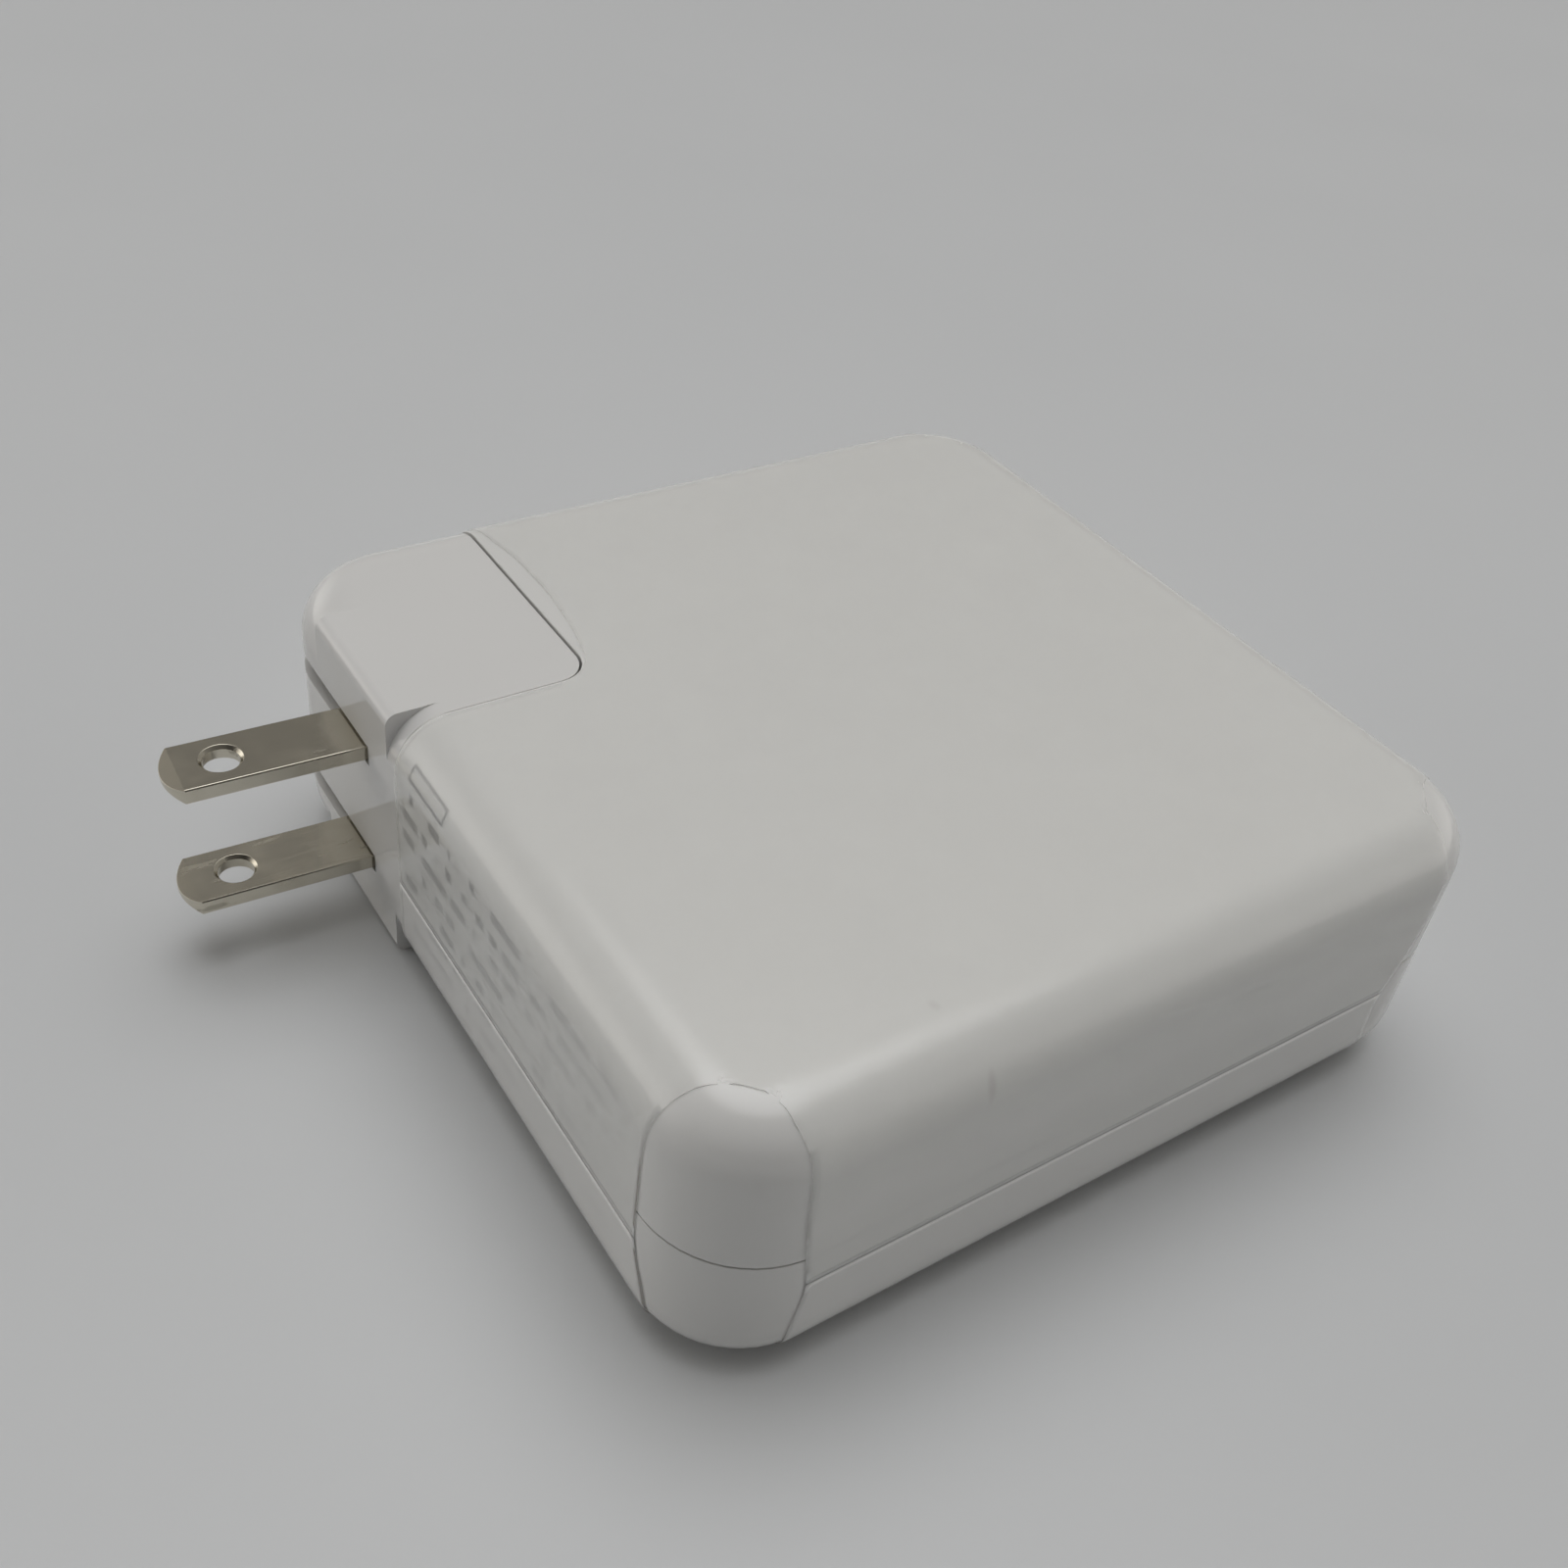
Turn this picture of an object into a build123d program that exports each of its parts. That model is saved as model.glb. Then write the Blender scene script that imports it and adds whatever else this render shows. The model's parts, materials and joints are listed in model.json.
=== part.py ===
"""Laptop wall charger: a square two-shell brick with a corner plug module that slides off.

Frame: millimetres. The origin is the centre of the brick's underside and +Z is up. The plug's blades
point to -X, the plug fills the -X +Y corner, and the cable port is in the middle of the +X side.
"""

import math
import os

from build123d import *

# ---------------------------------------------------------------- brick, driving dimensions
SIDE = 81.2                 # plan size of the brick, both ways
THICK = 27.8                # thickness of the brick
CORNER_R = 9.4              # upright corners
TOP_R = 5.1                 # edge round the top face
BOTTOM_R = 5.7              # edge round the underside
WALL = 2.2                  # shell wall
SEAM_Z = 13.9               # height of the joint between the shells
SEAM_GAP = 0.15             # open groove that shows at the joint
LIP_T = 0.9                 # tongue of the lower shell behind the joint
LIP_H = 1.6
LIP_GAP = 0.08              # room round the tongue

NOTCH_DEPTH = 18.9          # corner notch, measured in from the -X side
NOTCH_WIDTH = 29.2          # corner notch, measured in from the +Y side
NOTCH_R = 3.0               # its inner upright corner

# ---------------------------------------------------------------- plug module
GAP_END = 0.4               # plug to the notch wall that it slides away from
GAP_SIDE = 0.15             # plug to the notch wall that it slides along
PLUG_INSET = 0.15           # plug's outside stands this much inside the brick's
STRIP = 1.7                 # rounded strip between the square block and the notch wall
BLOCK_WIDTH = 15.8          # square block that carries the blades
BLOCK_DEPTH = 7.0
BLOCK_EDGE_R = 1.1          # its front top and bottom edges

BLADE_WIDTH = 6.35
BLADE_T = 1.5
BLADE_PITCH = 12.7          # centre to centre
BLADE_OUT = 16.7            # from the block's face to the tip
BLADE_TIP = 1.3             # length of the bevelled tip
BLADE_TIP_T = 0.55          # thickness left at the tip
BLADE_EDGE = 0.12           # bevel along the long edges
BLADE_HOLE_R = 1.6
BLADE_HOLE_RIM = 0.3        # chamfer round the hole
BLADE_HOLE_IN = 11.6        # from the block's face to the hole
BLADE_OFFSET = 7.85         # blade's centre line, in from the block's -Y side
REST_FOLD = 2.8             # degrees short of fully open at rest

PIVOT_IN = 3.25             # pivot behind the block's face
PIVOT_SIDE = 3.2            # pivot to the blade's centre line
BOSS_R = 2.2                # round foot of a blade, and the carrier between the blades
TRUNNION_R = 1.0
TRUNNION_GAP = 0.05
TRUNNION_OUT = 1.6          # trunnion beyond each slot
SLOT_H = 2.1
SLOT_GAP = 0.3              # slot beside and behind the folded blade
BOSS_GAP = 0.15

BAY_WALL = 1.4              # housing between the blade slots and the rear bay
BAY_Y0 = 3.6                # rear bay's sides, measured from the side notch wall
BAY_Y1 = 25.0
BAY_HALF_H = 9.2            # rear bay, each way from mid height
COVER_T = 1.6               # rear cover
COVER_LEDGE = 0.4           # how far the cover overlaps the bay's rim
COVER_GAP = 0.05

# ---------------------------------------------------------------- figure-of-eight connector
LOBE_PITCH = 8.6            # pin centre to pin centre
LOBE_R = 3.9                # radius of each lobe of the plug's boss
LOBE_GAP = 0.35             # inlet's cavity round the boss
LOBE_LENGTH = 8.0           # boss beyond the rear cover
INLET_Y = 14.6              # connector's centre, out from the side notch wall
INLET_WALL = 1.2
INLET_FLANGE = 1.2          # inlet's rim against the notch wall's inner face
PIN_R = 1.15
PIN_CLEAR = 0.05            # pin in its sleeve
PIN_LENGTH = 6.4            # pin beyond the inlet's floor
PIN_TAIL = 3.0              # pin behind the inlet's floor
SLEEVE_T = 0.35

STUD_SHANK_R = 1.2
STUD_TAIL_R = 2.0           # riveted tail inside the case
STUD_TAIL_T = 0.7
STUD_HEAD_R = 3.4
STUD_HEAD_T = 1.1
STUD_NECK_R = 1.9
STUD_NECK = 1.5             # from the notch wall to the head
STUD_IN = 9.6               # stud's centre, in from the -X side
GROOVE_GAP = 0.3            # plug's groove round the stud
GROOVE_LIP = 1.0            # plug's lip that the head hooks behind

# ---------------------------------------------------------------- contacts and detent in the plug
STRIP_T = 0.3               # sheet metal of the contact strips
LEAF_H = 1.5
LEAF_GAP = 0.06             # leaf to the blade's round foot
LEAF_ROOM = 0.3             # housing round the leaf
DETENT_T = 0.25
DETENT_H = 5.0
DETENT_W = 4.4
DETENT_GAP = 0.08           # spring to the carrier

# ---------------------------------------------------------------- cable port
PORT_WIDTH = 8.94
PORT_HEIGHT = 3.26
PORT_DEPTH = 7.4
PORT_T = 0.3                # sheet metal of the port shell
PORT_GAP = 0.15             # opening in the case round the port
PORT_SET = 0.2              # port's mouth behind the brick's side
TONGUE_WIDTH = 6.7
TONGUE_T = 0.7
TONGUE_SET = 1.0            # tongue's tip behind the port's mouth
PORT_BASE = 1.4             # moulded floor of the port

# ---------------------------------------------------------------- protective film
FILM_T = 0.15
FILM_GAP = 0.03
FILM_CUT = 8.6              # bare corners, measured in from the brick's sides
FILM_TOP_MARGIN = 4.2       # bare rim at the cut corners of the top sheet
FILM_CORNER_R = 6.0
FILM_SPLIT_Z = 11.0         # where the upper sheet's flaps end
FILM_LAP = 0.1              # gap between the upper and lower flaps
FILM_FOOT_Z = 0.6           # lower flaps' bottom edge
FILM_NOTCH = 1.4            # bare strip beside the end notch wall
FILM_NOTCH_SIDE = 0.35      # bare strip beside the side notch wall
FILM_PORT_W = 12.0          # window round the port
FILM_PORT_H = 6.0

# ---------------------------------------------------------------- boards, sheets and posts
SPREADER_T = 0.8            # aluminium heat spreaders
SHEET_INSET = 6.2           # sheets, in from the brick's outside
SHEET_R = 6.0
SHEET_NOTCH = 3.4           # sheets clear of the notch
INSULATOR_T = 0.3
BOARD_T = 1.6
BOARD_GAP = 0.6             # board to the shell walls
BOARD_R = 7.2
POST_H = 3.4                # posts under the board
POST_R = 1.9
POST_INSET = 7.4            # post centres, in from the brick's outside
POST_ROOM = 0.5             # sheets round the posts
INLET_ROOM = 1.0            # board clear of the inlet
OUT_BOARD_T = 1.2
OUT_BOARD_W = 30.0
OUT_BOARD_H = 14.5
FIT = 0.03                  # parts that are pressed or glued together

# ---------------------------------------------------------------- parts on the main board
CAN_R = 8.0                 # large capacitor, lying along X
CAN_L = 30.0
CAN_X = 8.0                 # its end, in from the -X side
CAN_Y = 13.2                # its axis, in from the -Y side
CAN_GROOVE = 0.5
BRIDGE = (4.0, 18.0, 12.0)
BRIDGE_AT = (7.6, 33.0)     # places in from the -X and -Y sides
RING_R = 7.2                # common-mode choke
RING_HOLE_R = 3.8
RING_H = 7.0
RING_AT = (19.0, 33.0)
RING_TURNS = 12
WIRE = 0.9                  # thick winding wire
RING_ARC = 300              # degrees of the ring that the winding covers
XCAP = (16.0, 6.0, 11.0)
XCAP_AT = (17.0, 45.3)
FUSE_R = 2.3
FUSE_L = 9.0
FUSE_AT = (32.0, 45.3)
COIL = (13.0, 15.0, 14.0)   # power-factor coil
COIL_AT = (35.6, 33.0)
COIL_CHEEK = 2.4
COIL_GAP = 0.8              # core's cheeks round the winding
HEATSINK = (26.0, 1.5, 15.0)
HEATSINK_AT = (57.0, 6.6)
SWITCH = (10.2, 4.4, 15.0)  # switching transistor on its heatsink
SWITCH_SCREW_R = 1.5
SWITCH_SCREW_HEAD_R = 2.7
SWITCH_SCREW_HEAD_T = 1.6
SWITCH_SCREW_Z = 11.6       # above the board
CORE = (24.0, 20.0, 14.4)   # transformer core, two halves
CORE_AT = (23.8, 23.6)      # in from the +X and -Y sides
CORE_CHEEK = 2.8
CORE_LEG_R = 4.2
BOBBIN_T = 0.9
WINDING_R = 8.6
CORE_STAND = 1.0            # bobbin's feet under the core
SINK2 = (1.5, 17.0, 13.0)   # secondary heatsink
SINK2_AT = (13.0, 14.6)     # in from the +X and +Y sides
OUT_CAN_R = 4.0
OUT_CAN_H = 12.0
OUT_CAN_AT = ((20.0, 12.0), (20.0, 21.0), (29.0, 12.0))
SMALL_CAN_R = 4.0
SMALL_CAN_H = 12.0
SMALL_CAN_AT = (29.0, 23.0)
YCAP_R = 4.4
YCAP_T = 3.4
YCAP_AT = (29.0, 34.0)
CHIP = (6.0, 5.0, 1.6)
CHIPS_AT = ((19.0, 31.0), (38.0, 32.0), (38.0, 10.0))
CAN_EDGE = 0.6              # rolled rims of the cans
LEAD_R = 0.8                # insulated mains leads
LEAD_BEND = 1.6
LEAD_RUN = (5.6, 8.8)       # how far each lead runs in from its pin

# ---------------------------------------------------------------- derived places
HALF = SIDE / 2
MID_Z = THICK / 2
WALL_A = NOTCH_DEPTH - HALF                         # x of the notch wall behind the plug
WALL_B = HALF - NOTCH_WIDTH                         # y of the notch wall beside the plug
FACE_X = PLUG_INSET - HALF                          # block's face
BLOCK_Y0 = WALL_B + STRIP
BLOCK_Y1 = BLOCK_Y0 + BLOCK_WIDTH
BLADE_Y = BLOCK_Y0 + BLADE_OFFSET
BLADE_Z = (MID_Z - BLADE_PITCH / 2, MID_Z + BLADE_PITCH / 2)
PIVOT_X = FACE_X + PIVOT_IN
PIVOT_Y = BLADE_Y - PIVOT_SIDE
SLOT_END = PIVOT_X + PIVOT_SIDE + BLADE_WIDTH / 2 + SLOT_GAP
PLUG_REAR = WALL_A - GAP_END                        # x of the plug's rear face
PLUG_SIDE = WALL_B + GAP_SIDE                       # y of the plug's face along the notch wall
SEAT_X = PLUG_REAR - COVER_T                        # x of the rear cover's seat
BAY_X0 = SLOT_END + BAY_WALL
STRAP_X = (BAY_X0 + SEAT_X) / 2                     # contact straps cross the bay here
STUD_X = STUD_IN - HALF
INLET_CY = WALL_B + INLET_Y
PIN_Z = (MID_Z - LOBE_PITCH / 2, MID_Z + LOBE_PITCH / 2)
SLEEVE_R = PIN_R + PIN_CLEAR + SLEEVE_T
BOSS_END = PLUG_REAR + LOBE_LENGTH                  # x of the connector boss's tip
CUP_FLOOR = WALL_A + LOBE_LENGTH                    # x of the inlet's floor
CUP_BACK = CUP_FLOOR + INLET_WALL
INNER = HALF - WALL                                 # inside face of the shell walls
CEILING = THICK - WALL
BOARD_Z = WALL + POST_H                             # underside of the main board
BOARD_TOP = BOARD_Z + BOARD_T
PORT_X1 = HALF - PORT_SET
PORT_X0 = PORT_X1 - PORT_DEPTH
OVER = 1.0                                          # how far a cutting tool runs past its work
REACH = HALF + OVER


# ---------------------------------------------------------------- helpers
def brick(x0, x1, y0, y1, z0, z1):
    """A box given by its limits."""
    centre = Pos((x0 + x1) / 2, (y0 + y1) / 2, (z0 + z1) / 2)
    return centre * Box(x1 - x0, y1 - y0, z1 - z0)


def seated(place, size, z=BOARD_TOP):
    """A box of the given size, centred over a place, standing on height z."""
    x, y = place
    dx, dy, dz = size
    return brick(x - dx / 2, x + dx / 2, y - dy / 2, y + dy / 2, z, z + dz)


def along_x(x0, x1, y, z, r):
    """A round bar along X."""
    return Pos((x0 + x1) / 2, y, z) * Rot(0, 90, 0) * Cylinder(r, x1 - x0)


def along_y(x, y0, y1, z, r):
    """A round bar along Y."""
    return Pos(x, (y0 + y1) / 2, z) * Rot(90, 0, 0) * Cylinder(r, y1 - y0)


def along_z(x, y, z0, z1, r):
    """A round bar along Z."""
    return Pos(x, y, (z0 + z1) / 2) * Cylinder(r, z1 - z0)


def upright_edges(part, x, y):
    """The edges along Z that stand at (x, y)."""
    found = part.edges().filter_by(Axis.Z)
    return [e for e in found if math.dist((e.center().X, e.center().Y), (x, y)) < FIT]


def slab(z0, z1):
    """Everything between two heights."""
    return brick(-REACH, REACH, -REACH, REACH, z0, z1)


def pillow(inset):
    """The brick's outline with its corner filled in, every face moved in by inset."""
    half = HALF - inset
    form = brick(-half, half, -half, half, inset, THICK - inset)
    form = fillet(form.edges().filter_by(Axis.Z), CORNER_R - inset)
    form = fillet(form.faces().sort_by(Axis.Z)[-1].edges(), TOP_R - inset)
    return fillet(form.faces().sort_by(Axis.Z)[0].edges(), BOTTOM_R - inset)


def notch(grow_end, grow_side):
    """The corner notch, with its end wall and its side wall moved out."""
    x1 = WALL_A + grow_end
    y0 = WALL_B - grow_side
    form = brick(-REACH, x1, y0, REACH, -OVER, THICK + OVER)
    return fillet(upright_edges(form, x1, y0), NOTCH_R + min(grow_end, grow_side))


def case(inset):
    """The brick's outline without its notch, every face moved in by inset."""
    return pillow(inset) - notch(inset, inset)


def eight(x0, x1, grow):
    """The mains connector's figure of eight as a bar along X, its outline moved out by grow."""
    radius = LOBE_R + grow
    form = brick(x0, x1, INLET_CY - radius, INLET_CY + radius, PIN_Z[0], PIN_Z[1])
    for z in PIN_Z:
        form += along_x(x0, x1, INLET_CY, z, radius)
    return form


def stadium(x0, x1, grow):
    """The cable port's rounded outline as a bar along X, its outline moved out by grow."""
    radius = PORT_HEIGHT / 2 + grow
    reach = (PORT_WIDTH - PORT_HEIGHT) / 2
    form = brick(x0, x1, -reach, reach, MID_Z - radius, MID_Z + radius)
    for y in (-reach, reach):
        form += along_x(x0, x1, y, MID_Z, radius)
    return form


def near_left(at):
    """A place given in from the -X and -Y sides."""
    return at[0] - HALF, at[1] - HALF


def near_right(at):
    """A place given in from the +X and -Y sides."""
    return HALF - at[0], at[1] - HALF


def near_back(at):
    """A place given in from the +X and +Y sides."""
    return HALF - at[0], HALF - at[1]


def save(name, part):
    """Writes one sub-part as a STEP file named after it."""
    export_step(part, os.path.join("parts", name + ".step"))
    print(name, round(part.volume, 1))


# ---------------------------------------------------------------- brick shells
def posts(z0, z1, radius):
    """Board posts near the three full corners and beside the notch."""
    far = HALF - POST_INSET
    places = [(-far, -far), (far, -far), (far, far), (-far, WALL_B - POST_INSET)]
    form = Part()
    for x, y in places:
        form += along_z(x, y, z0, z1, radius)
    return form


def case_holes():
    """Holes that both shells share: the inlet, the stud's shank and the cable port."""
    mouth = eight(WALL_A - OVER, WALL_A + WALL + OVER, LOBE_GAP + INLET_WALL + FIT)
    shank = along_y(STUD_X, WALL_B - WALL - OVER, WALL_B + OVER, MID_Z, STUD_SHANK_R + FIT)
    port = stadium(INNER - OVER, HALF + OVER, PORT_GAP)
    return mouth + shank + port


def upper_shell():
    """Top half of the case, with room for the lower shell's tongue."""
    base = SEAM_Z + SEAM_GAP
    form = case(0) & slab(base, THICK + OVER)
    form -= case(WALL)
    form -= case(WALL - LIP_T - LIP_GAP) & slab(0, SEAM_Z + LIP_H + LIP_GAP)
    return form - case_holes()


def lower_shell():
    """Bottom half of the case, with the tongue behind the joint and the board posts."""
    form = case(0) & slab(-OVER, SEAM_Z)
    tongue = case(WALL - LIP_T) & slab(SEAM_Z - OVER, SEAM_Z + LIP_H)
    form = form + tongue - case(WALL)
    form += posts(WALL / 2, BOARD_Z, POST_R) & case(WALL / 2)
    return form - case_holes()


# ---------------------------------------------------------------- protective film
def film_skin(z0, z1):
    """A thin layer just outside the case between two heights."""
    skin = pillow(-FILM_GAP - FILM_T) - pillow(-FILM_GAP)
    window_y = FILM_PORT_W / 2
    window_z = FILM_PORT_H / 2
    window = brick(0, REACH, -window_y, window_y, MID_Z - window_z, MID_Z + window_z)
    return (skin & slab(z0, z1)) - notch(FILM_NOTCH, FILM_NOTCH_SIDE) - window


def film_cross(z0, z1):
    """The cross shape that leaves the four upright corners bare."""
    arm = HALF - FILM_CUT
    return brick(-arm, arm, -REACH, REACH, z0, z1) + brick(-REACH, REACH, -arm, arm, z0, z1)


def upper_film():
    """Sheet over the top, folded down over the sides."""
    top = THICK + OVER
    half = HALF - FILM_TOP_MARGIN
    panel = brick(-half, half, -half, half, FILM_SPLIT_Z, top)
    panel = fillet(panel.edges().filter_by(Axis.Z), FILM_CORNER_R)
    return film_skin(FILM_SPLIT_Z, top) & (film_cross(FILM_SPLIT_Z, top) + panel)


def lower_film():
    """Flaps folded up over the lower half of the sides."""
    top = FILM_SPLIT_Z - FILM_LAP
    return film_skin(FILM_FOOT_Z, top) & film_cross(FILM_FOOT_Z, top)


# ---------------------------------------------------------------- inlet, stud and port on the brick
def inlet_socket():
    """Figure-of-eight cup in the notch's end wall, with a rim behind the wall."""
    wall = LOBE_GAP + INLET_WALL
    form = eight(WALL_A, CUP_BACK, wall)
    rim_x = WALL_A + WALL + FIT
    form += eight(rim_x, rim_x + INLET_WALL, wall + INLET_FLANGE)
    form -= eight(WALL_A - OVER, CUP_FLOOR, LOBE_GAP)
    for z in PIN_Z:
        form -= along_x(CUP_FLOOR - OVER, CUP_BACK + OVER, INLET_CY, z, PIN_R + FIT)
    return form


def inlet_pins():
    """Two round pins with domed tips, held in the inlet's floor."""
    tip = CUP_FLOOR - PIN_LENGTH
    pins = []
    for z in PIN_Z:
        pin = along_x(tip, CUP_BACK + PIN_TAIL, INLET_CY, z, PIN_R)
        pins.append(fillet(pin.edges().sort_by(Axis.X)[0], PIN_R / 2))
    return Compound(children=pins)


def lock_stud():
    """Steel stud riveted through the notch's side wall; the plug's groove hooks behind its head."""
    neck_end = WALL_B + STUD_NECK
    head = along_y(STUD_X, neck_end, neck_end + STUD_HEAD_T, MID_Z, STUD_HEAD_R)
    head = chamfer(head.edges().sort_by(Axis.Y)[-1], STUD_HEAD_T / 4)
    tail_y = WALL_B - WALL - FIT
    form = head + along_y(STUD_X, WALL_B + FIT, neck_end, MID_Z, STUD_NECK_R)
    form += along_y(STUD_X, tail_y, neck_end, MID_Z, STUD_SHANK_R)
    return form + along_y(STUD_X, tail_y - STUD_TAIL_T, tail_y, MID_Z, STUD_TAIL_R)


def port_shell():
    """Sheet-metal shell of the cable port."""
    return stadium(PORT_X0, PORT_X1, 0) - stadium(PORT_X0 - OVER, PORT_X1 + OVER, -PORT_T)


def port_tongue():
    """Moulded floor and contact tongue of the cable port."""
    floor = stadium(PORT_X0, PORT_X0 + PORT_BASE, -PORT_T - FIT)
    half = TONGUE_WIDTH / 2
    tip = PORT_X1 - TONGUE_SET
    tongue = brick(PORT_X0, tip, -half, half, MID_Z - TONGUE_T / 2, MID_Z + TONGUE_T / 2)
    return floor + tongue


# ---------------------------------------------------------------- plug module
def plug_form():
    """Outside of the plug: the brick's own corner, plus the square block on its front."""
    region = brick(-REACH, PLUG_REAR, PLUG_SIDE, REACH, -OVER, THICK + OVER)
    region = fillet(upright_edges(region, PLUG_REAR, PLUG_SIDE), NOTCH_R - GAP_SIDE)
    low, high = PLUG_INSET, THICK - PLUG_INSET
    block = brick(FACE_X, FACE_X + BLOCK_DEPTH, BLOCK_Y0, BLOCK_Y1, low, high)
    front = block.faces().sort_by(Axis.X)[0]
    block = fillet(front.edges().filter_by(Axis.Y), BLOCK_EDGE_R)
    return (pillow(PLUG_INSET) & region) + block


def blade_slots():
    """Spaces that the blades turn and fold into, with the round pockets for their feet."""
    form = Part()
    side = BLADE_Y - BLADE_WIDTH / 2 - SLOT_GAP
    for z in BLADE_Z:
        low, high = z - SLOT_H / 2, z + SLOT_H / 2
        form += brick(-REACH, SLOT_END, side, REACH, low, high)
        form += along_z(PIVOT_X, PIVOT_Y, low, high, BOSS_R + BOSS_GAP)
    return form


def carrier_bore():
    """Bore for the blade carrier and its two trunnions."""
    low, high = BLADE_Z
    form = along_z(PIVOT_X, PIVOT_Y, low, high, BOSS_R + TRUNNION_GAP)
    end = SLOT_H / 2 + TRUNNION_OUT + TRUNNION_GAP
    return form + along_z(PIVOT_X, PIVOT_Y, low - end, high + end, TRUNNION_R + TRUNNION_GAP)


def bay(grow, x1):
    """The plug's rear bay up to x1, its outline moved out by grow."""
    y0 = WALL_B + BAY_Y0 - grow
    y1 = WALL_B + BAY_Y1 + grow
    reach = BAY_HALF_H + grow
    return brick(BAY_X0, x1, y0, y1, MID_Z - reach, MID_Z + reach)


def leaf_y():
    """Lower and upper y of a contact leaf, which wipes the blade's round foot."""
    high = PIVOT_Y - BOSS_R - LEAF_GAP
    return high - STRIP_T, high


def leaf_pockets():
    """Passages from the bay to the blades' feet."""
    form = Part()
    for z in BLADE_Z:
        low, high = z - SLOT_H / 2, z + SLOT_H / 2
        y0 = leaf_y()[0] - LEAF_ROOM
        form += brick(PIVOT_X - BOSS_R / 2, BAY_X0 + OVER, y0, PIVOT_Y - BOSS_R, low, high)
    return form


def detent_pocket():
    """Passage from the bay to the blade carrier."""
    wide = DETENT_W / 2 + LEAF_ROOM
    tall = DETENT_H / 2 + LEAF_ROOM
    return brick(PIVOT_X, BAY_X0 + OVER, PIVOT_Y - wide, PIVOT_Y + wide, MID_Z - tall, MID_Z + tall)


def stud_groove():
    """T-shaped groove that slides over the brick's stud."""
    lip = PLUG_SIDE + GROOVE_LIP
    end = WALL_B + STUD_NECK + STUD_HEAD_T + GROOVE_GAP
    form = Part()
    for y0, y1, r in ((WALL_B, lip, STUD_NECK_R), (lip, end, STUD_HEAD_R)):
        reach = r + GROOVE_GAP
        form += brick(STUD_X, PLUG_REAR + OVER, y0, y1, MID_Z - reach, MID_Z + reach)
        form += along_y(STUD_X, y0, y1, MID_Z, reach)
    return form


def plug_housing():
    """White housing of the plug, open at the rear."""
    form = plug_form() - blade_slots() - carrier_bore()
    form = form - bay(0, PLUG_REAR + OVER) - leaf_pockets() - detent_pocket()
    seat = bay(COVER_LEDGE + COVER_GAP, PLUG_REAR + OVER) & brick(SEAT_X, REACH, -REACH, REACH, 0, THICK)
    return form - seat - stud_groove()


def rear_cover():
    """Cover over the bay, with the connector boss that enters the brick's inlet."""
    plate = bay(COVER_LEDGE, PLUG_REAR) & brick(SEAT_X, REACH, -REACH, REACH, 0, THICK)
    boss = eight(PLUG_REAR - COVER_T / 2, BOSS_END, 0)
    boss = chamfer(boss.faces().sort_by(Axis.X)[-1].edges(), BLADE_HOLE_RIM)
    form = plate + boss
    for z in PIN_Z:
        form -= along_x(SEAT_X - OVER, BOSS_END - COVER_T / 2, INLET_CY, z, SLEEVE_R + FIT)
        form -= along_x(SEAT_X, BOSS_END + OVER, INLET_CY, z, PIN_R + LOBE_GAP / 2)
    return form


def socket_sleeve(z):
    """Rolled sleeve that grips one pin."""
    end = BOSS_END - COVER_T / 2 - FIT
    form = along_x(STRAP_X + STRIP_T, end, INLET_CY, z, SLEEVE_R)
    return form - along_x(STRAP_X, end + OVER, INLET_CY, z, SLEEVE_R - SLEEVE_T)


def contact_strip(blade_z, pin_z):
    """Leaf along the blade's foot and a strap across to the sleeve."""
    y0, y1 = leaf_y()
    low, high = blade_z - LEAF_H / 2, blade_z + LEAF_H / 2
    leaf = brick(PIVOT_X, STRAP_X + STRIP_T, y0, y1, low, high)
    ends = (low, high, pin_z - PIN_R, pin_z + PIN_R)
    strap = brick(STRAP_X, STRAP_X + STRIP_T, y0, INLET_CY + SLEEVE_R, min(ends), max(ends))
    return leaf + strap


def detent_spring():
    """Bent spring whose flat presses on the blade carrier."""
    front = PIVOT_X + BOSS_R + DETENT_GAP
    y0, y1 = PIVOT_Y - DETENT_W / 2, PIVOT_Y + DETENT_W / 2
    low, high = MID_Z - DETENT_H / 2, MID_Z + DETENT_H / 2
    outside = brick(front, SEAT_X - FIT, y0, y1, low, high)
    outside = fillet(outside.edges().filter_by(Axis.Z).sort_by(Axis.X)[:2], DETENT_T * 2)
    inside = brick(front + DETENT_T, SEAT_X, y0 + DETENT_T, y1 - DETENT_T, low, high)
    inside = fillet(inside.edges().filter_by(Axis.Z).sort_by(Axis.X)[:2], DETENT_T)
    return outside - inside


def folded(part):
    """Turns a piece of the blade set about the pivot to its resting angle."""
    return Pos(PIVOT_X, PIVOT_Y, 0) * Rot(0, 0, -REST_FOLD) * Pos(-PIVOT_X, -PIVOT_Y, 0) * part


def blade_plan():
    """Plan outline of a blade: a bar with a bowed tip."""
    tip = FACE_X - BLADE_OUT
    ridge = tip + BLADE_TIP
    y0, y1 = BLADE_Y - BLADE_WIDTH / 2, BLADE_Y + BLADE_WIDTH / 2
    lines = Polyline((ridge, y1), (PIVOT_X, y1), (PIVOT_X, y0), (ridge, y0))
    return make_face([*lines.edges(), ThreePointArc((ridge, y0), (tip, BLADE_Y), (ridge, y1))])


def blade_side():
    """Side outline of a blade, tapered on both faces at the tip."""
    tip = FACE_X - BLADE_OUT
    ridge = tip + BLADE_TIP
    rear = PIVOT_X + BOSS_R + OVER
    t, s = BLADE_T / 2, BLADE_TIP_T / 2
    points = [(tip, -s), (ridge, -t), (rear, -t), (rear, t), (ridge, t), (tip, s)]
    return make_face(Polyline([(x, 0, z) for x, z in points], close=True))


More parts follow.
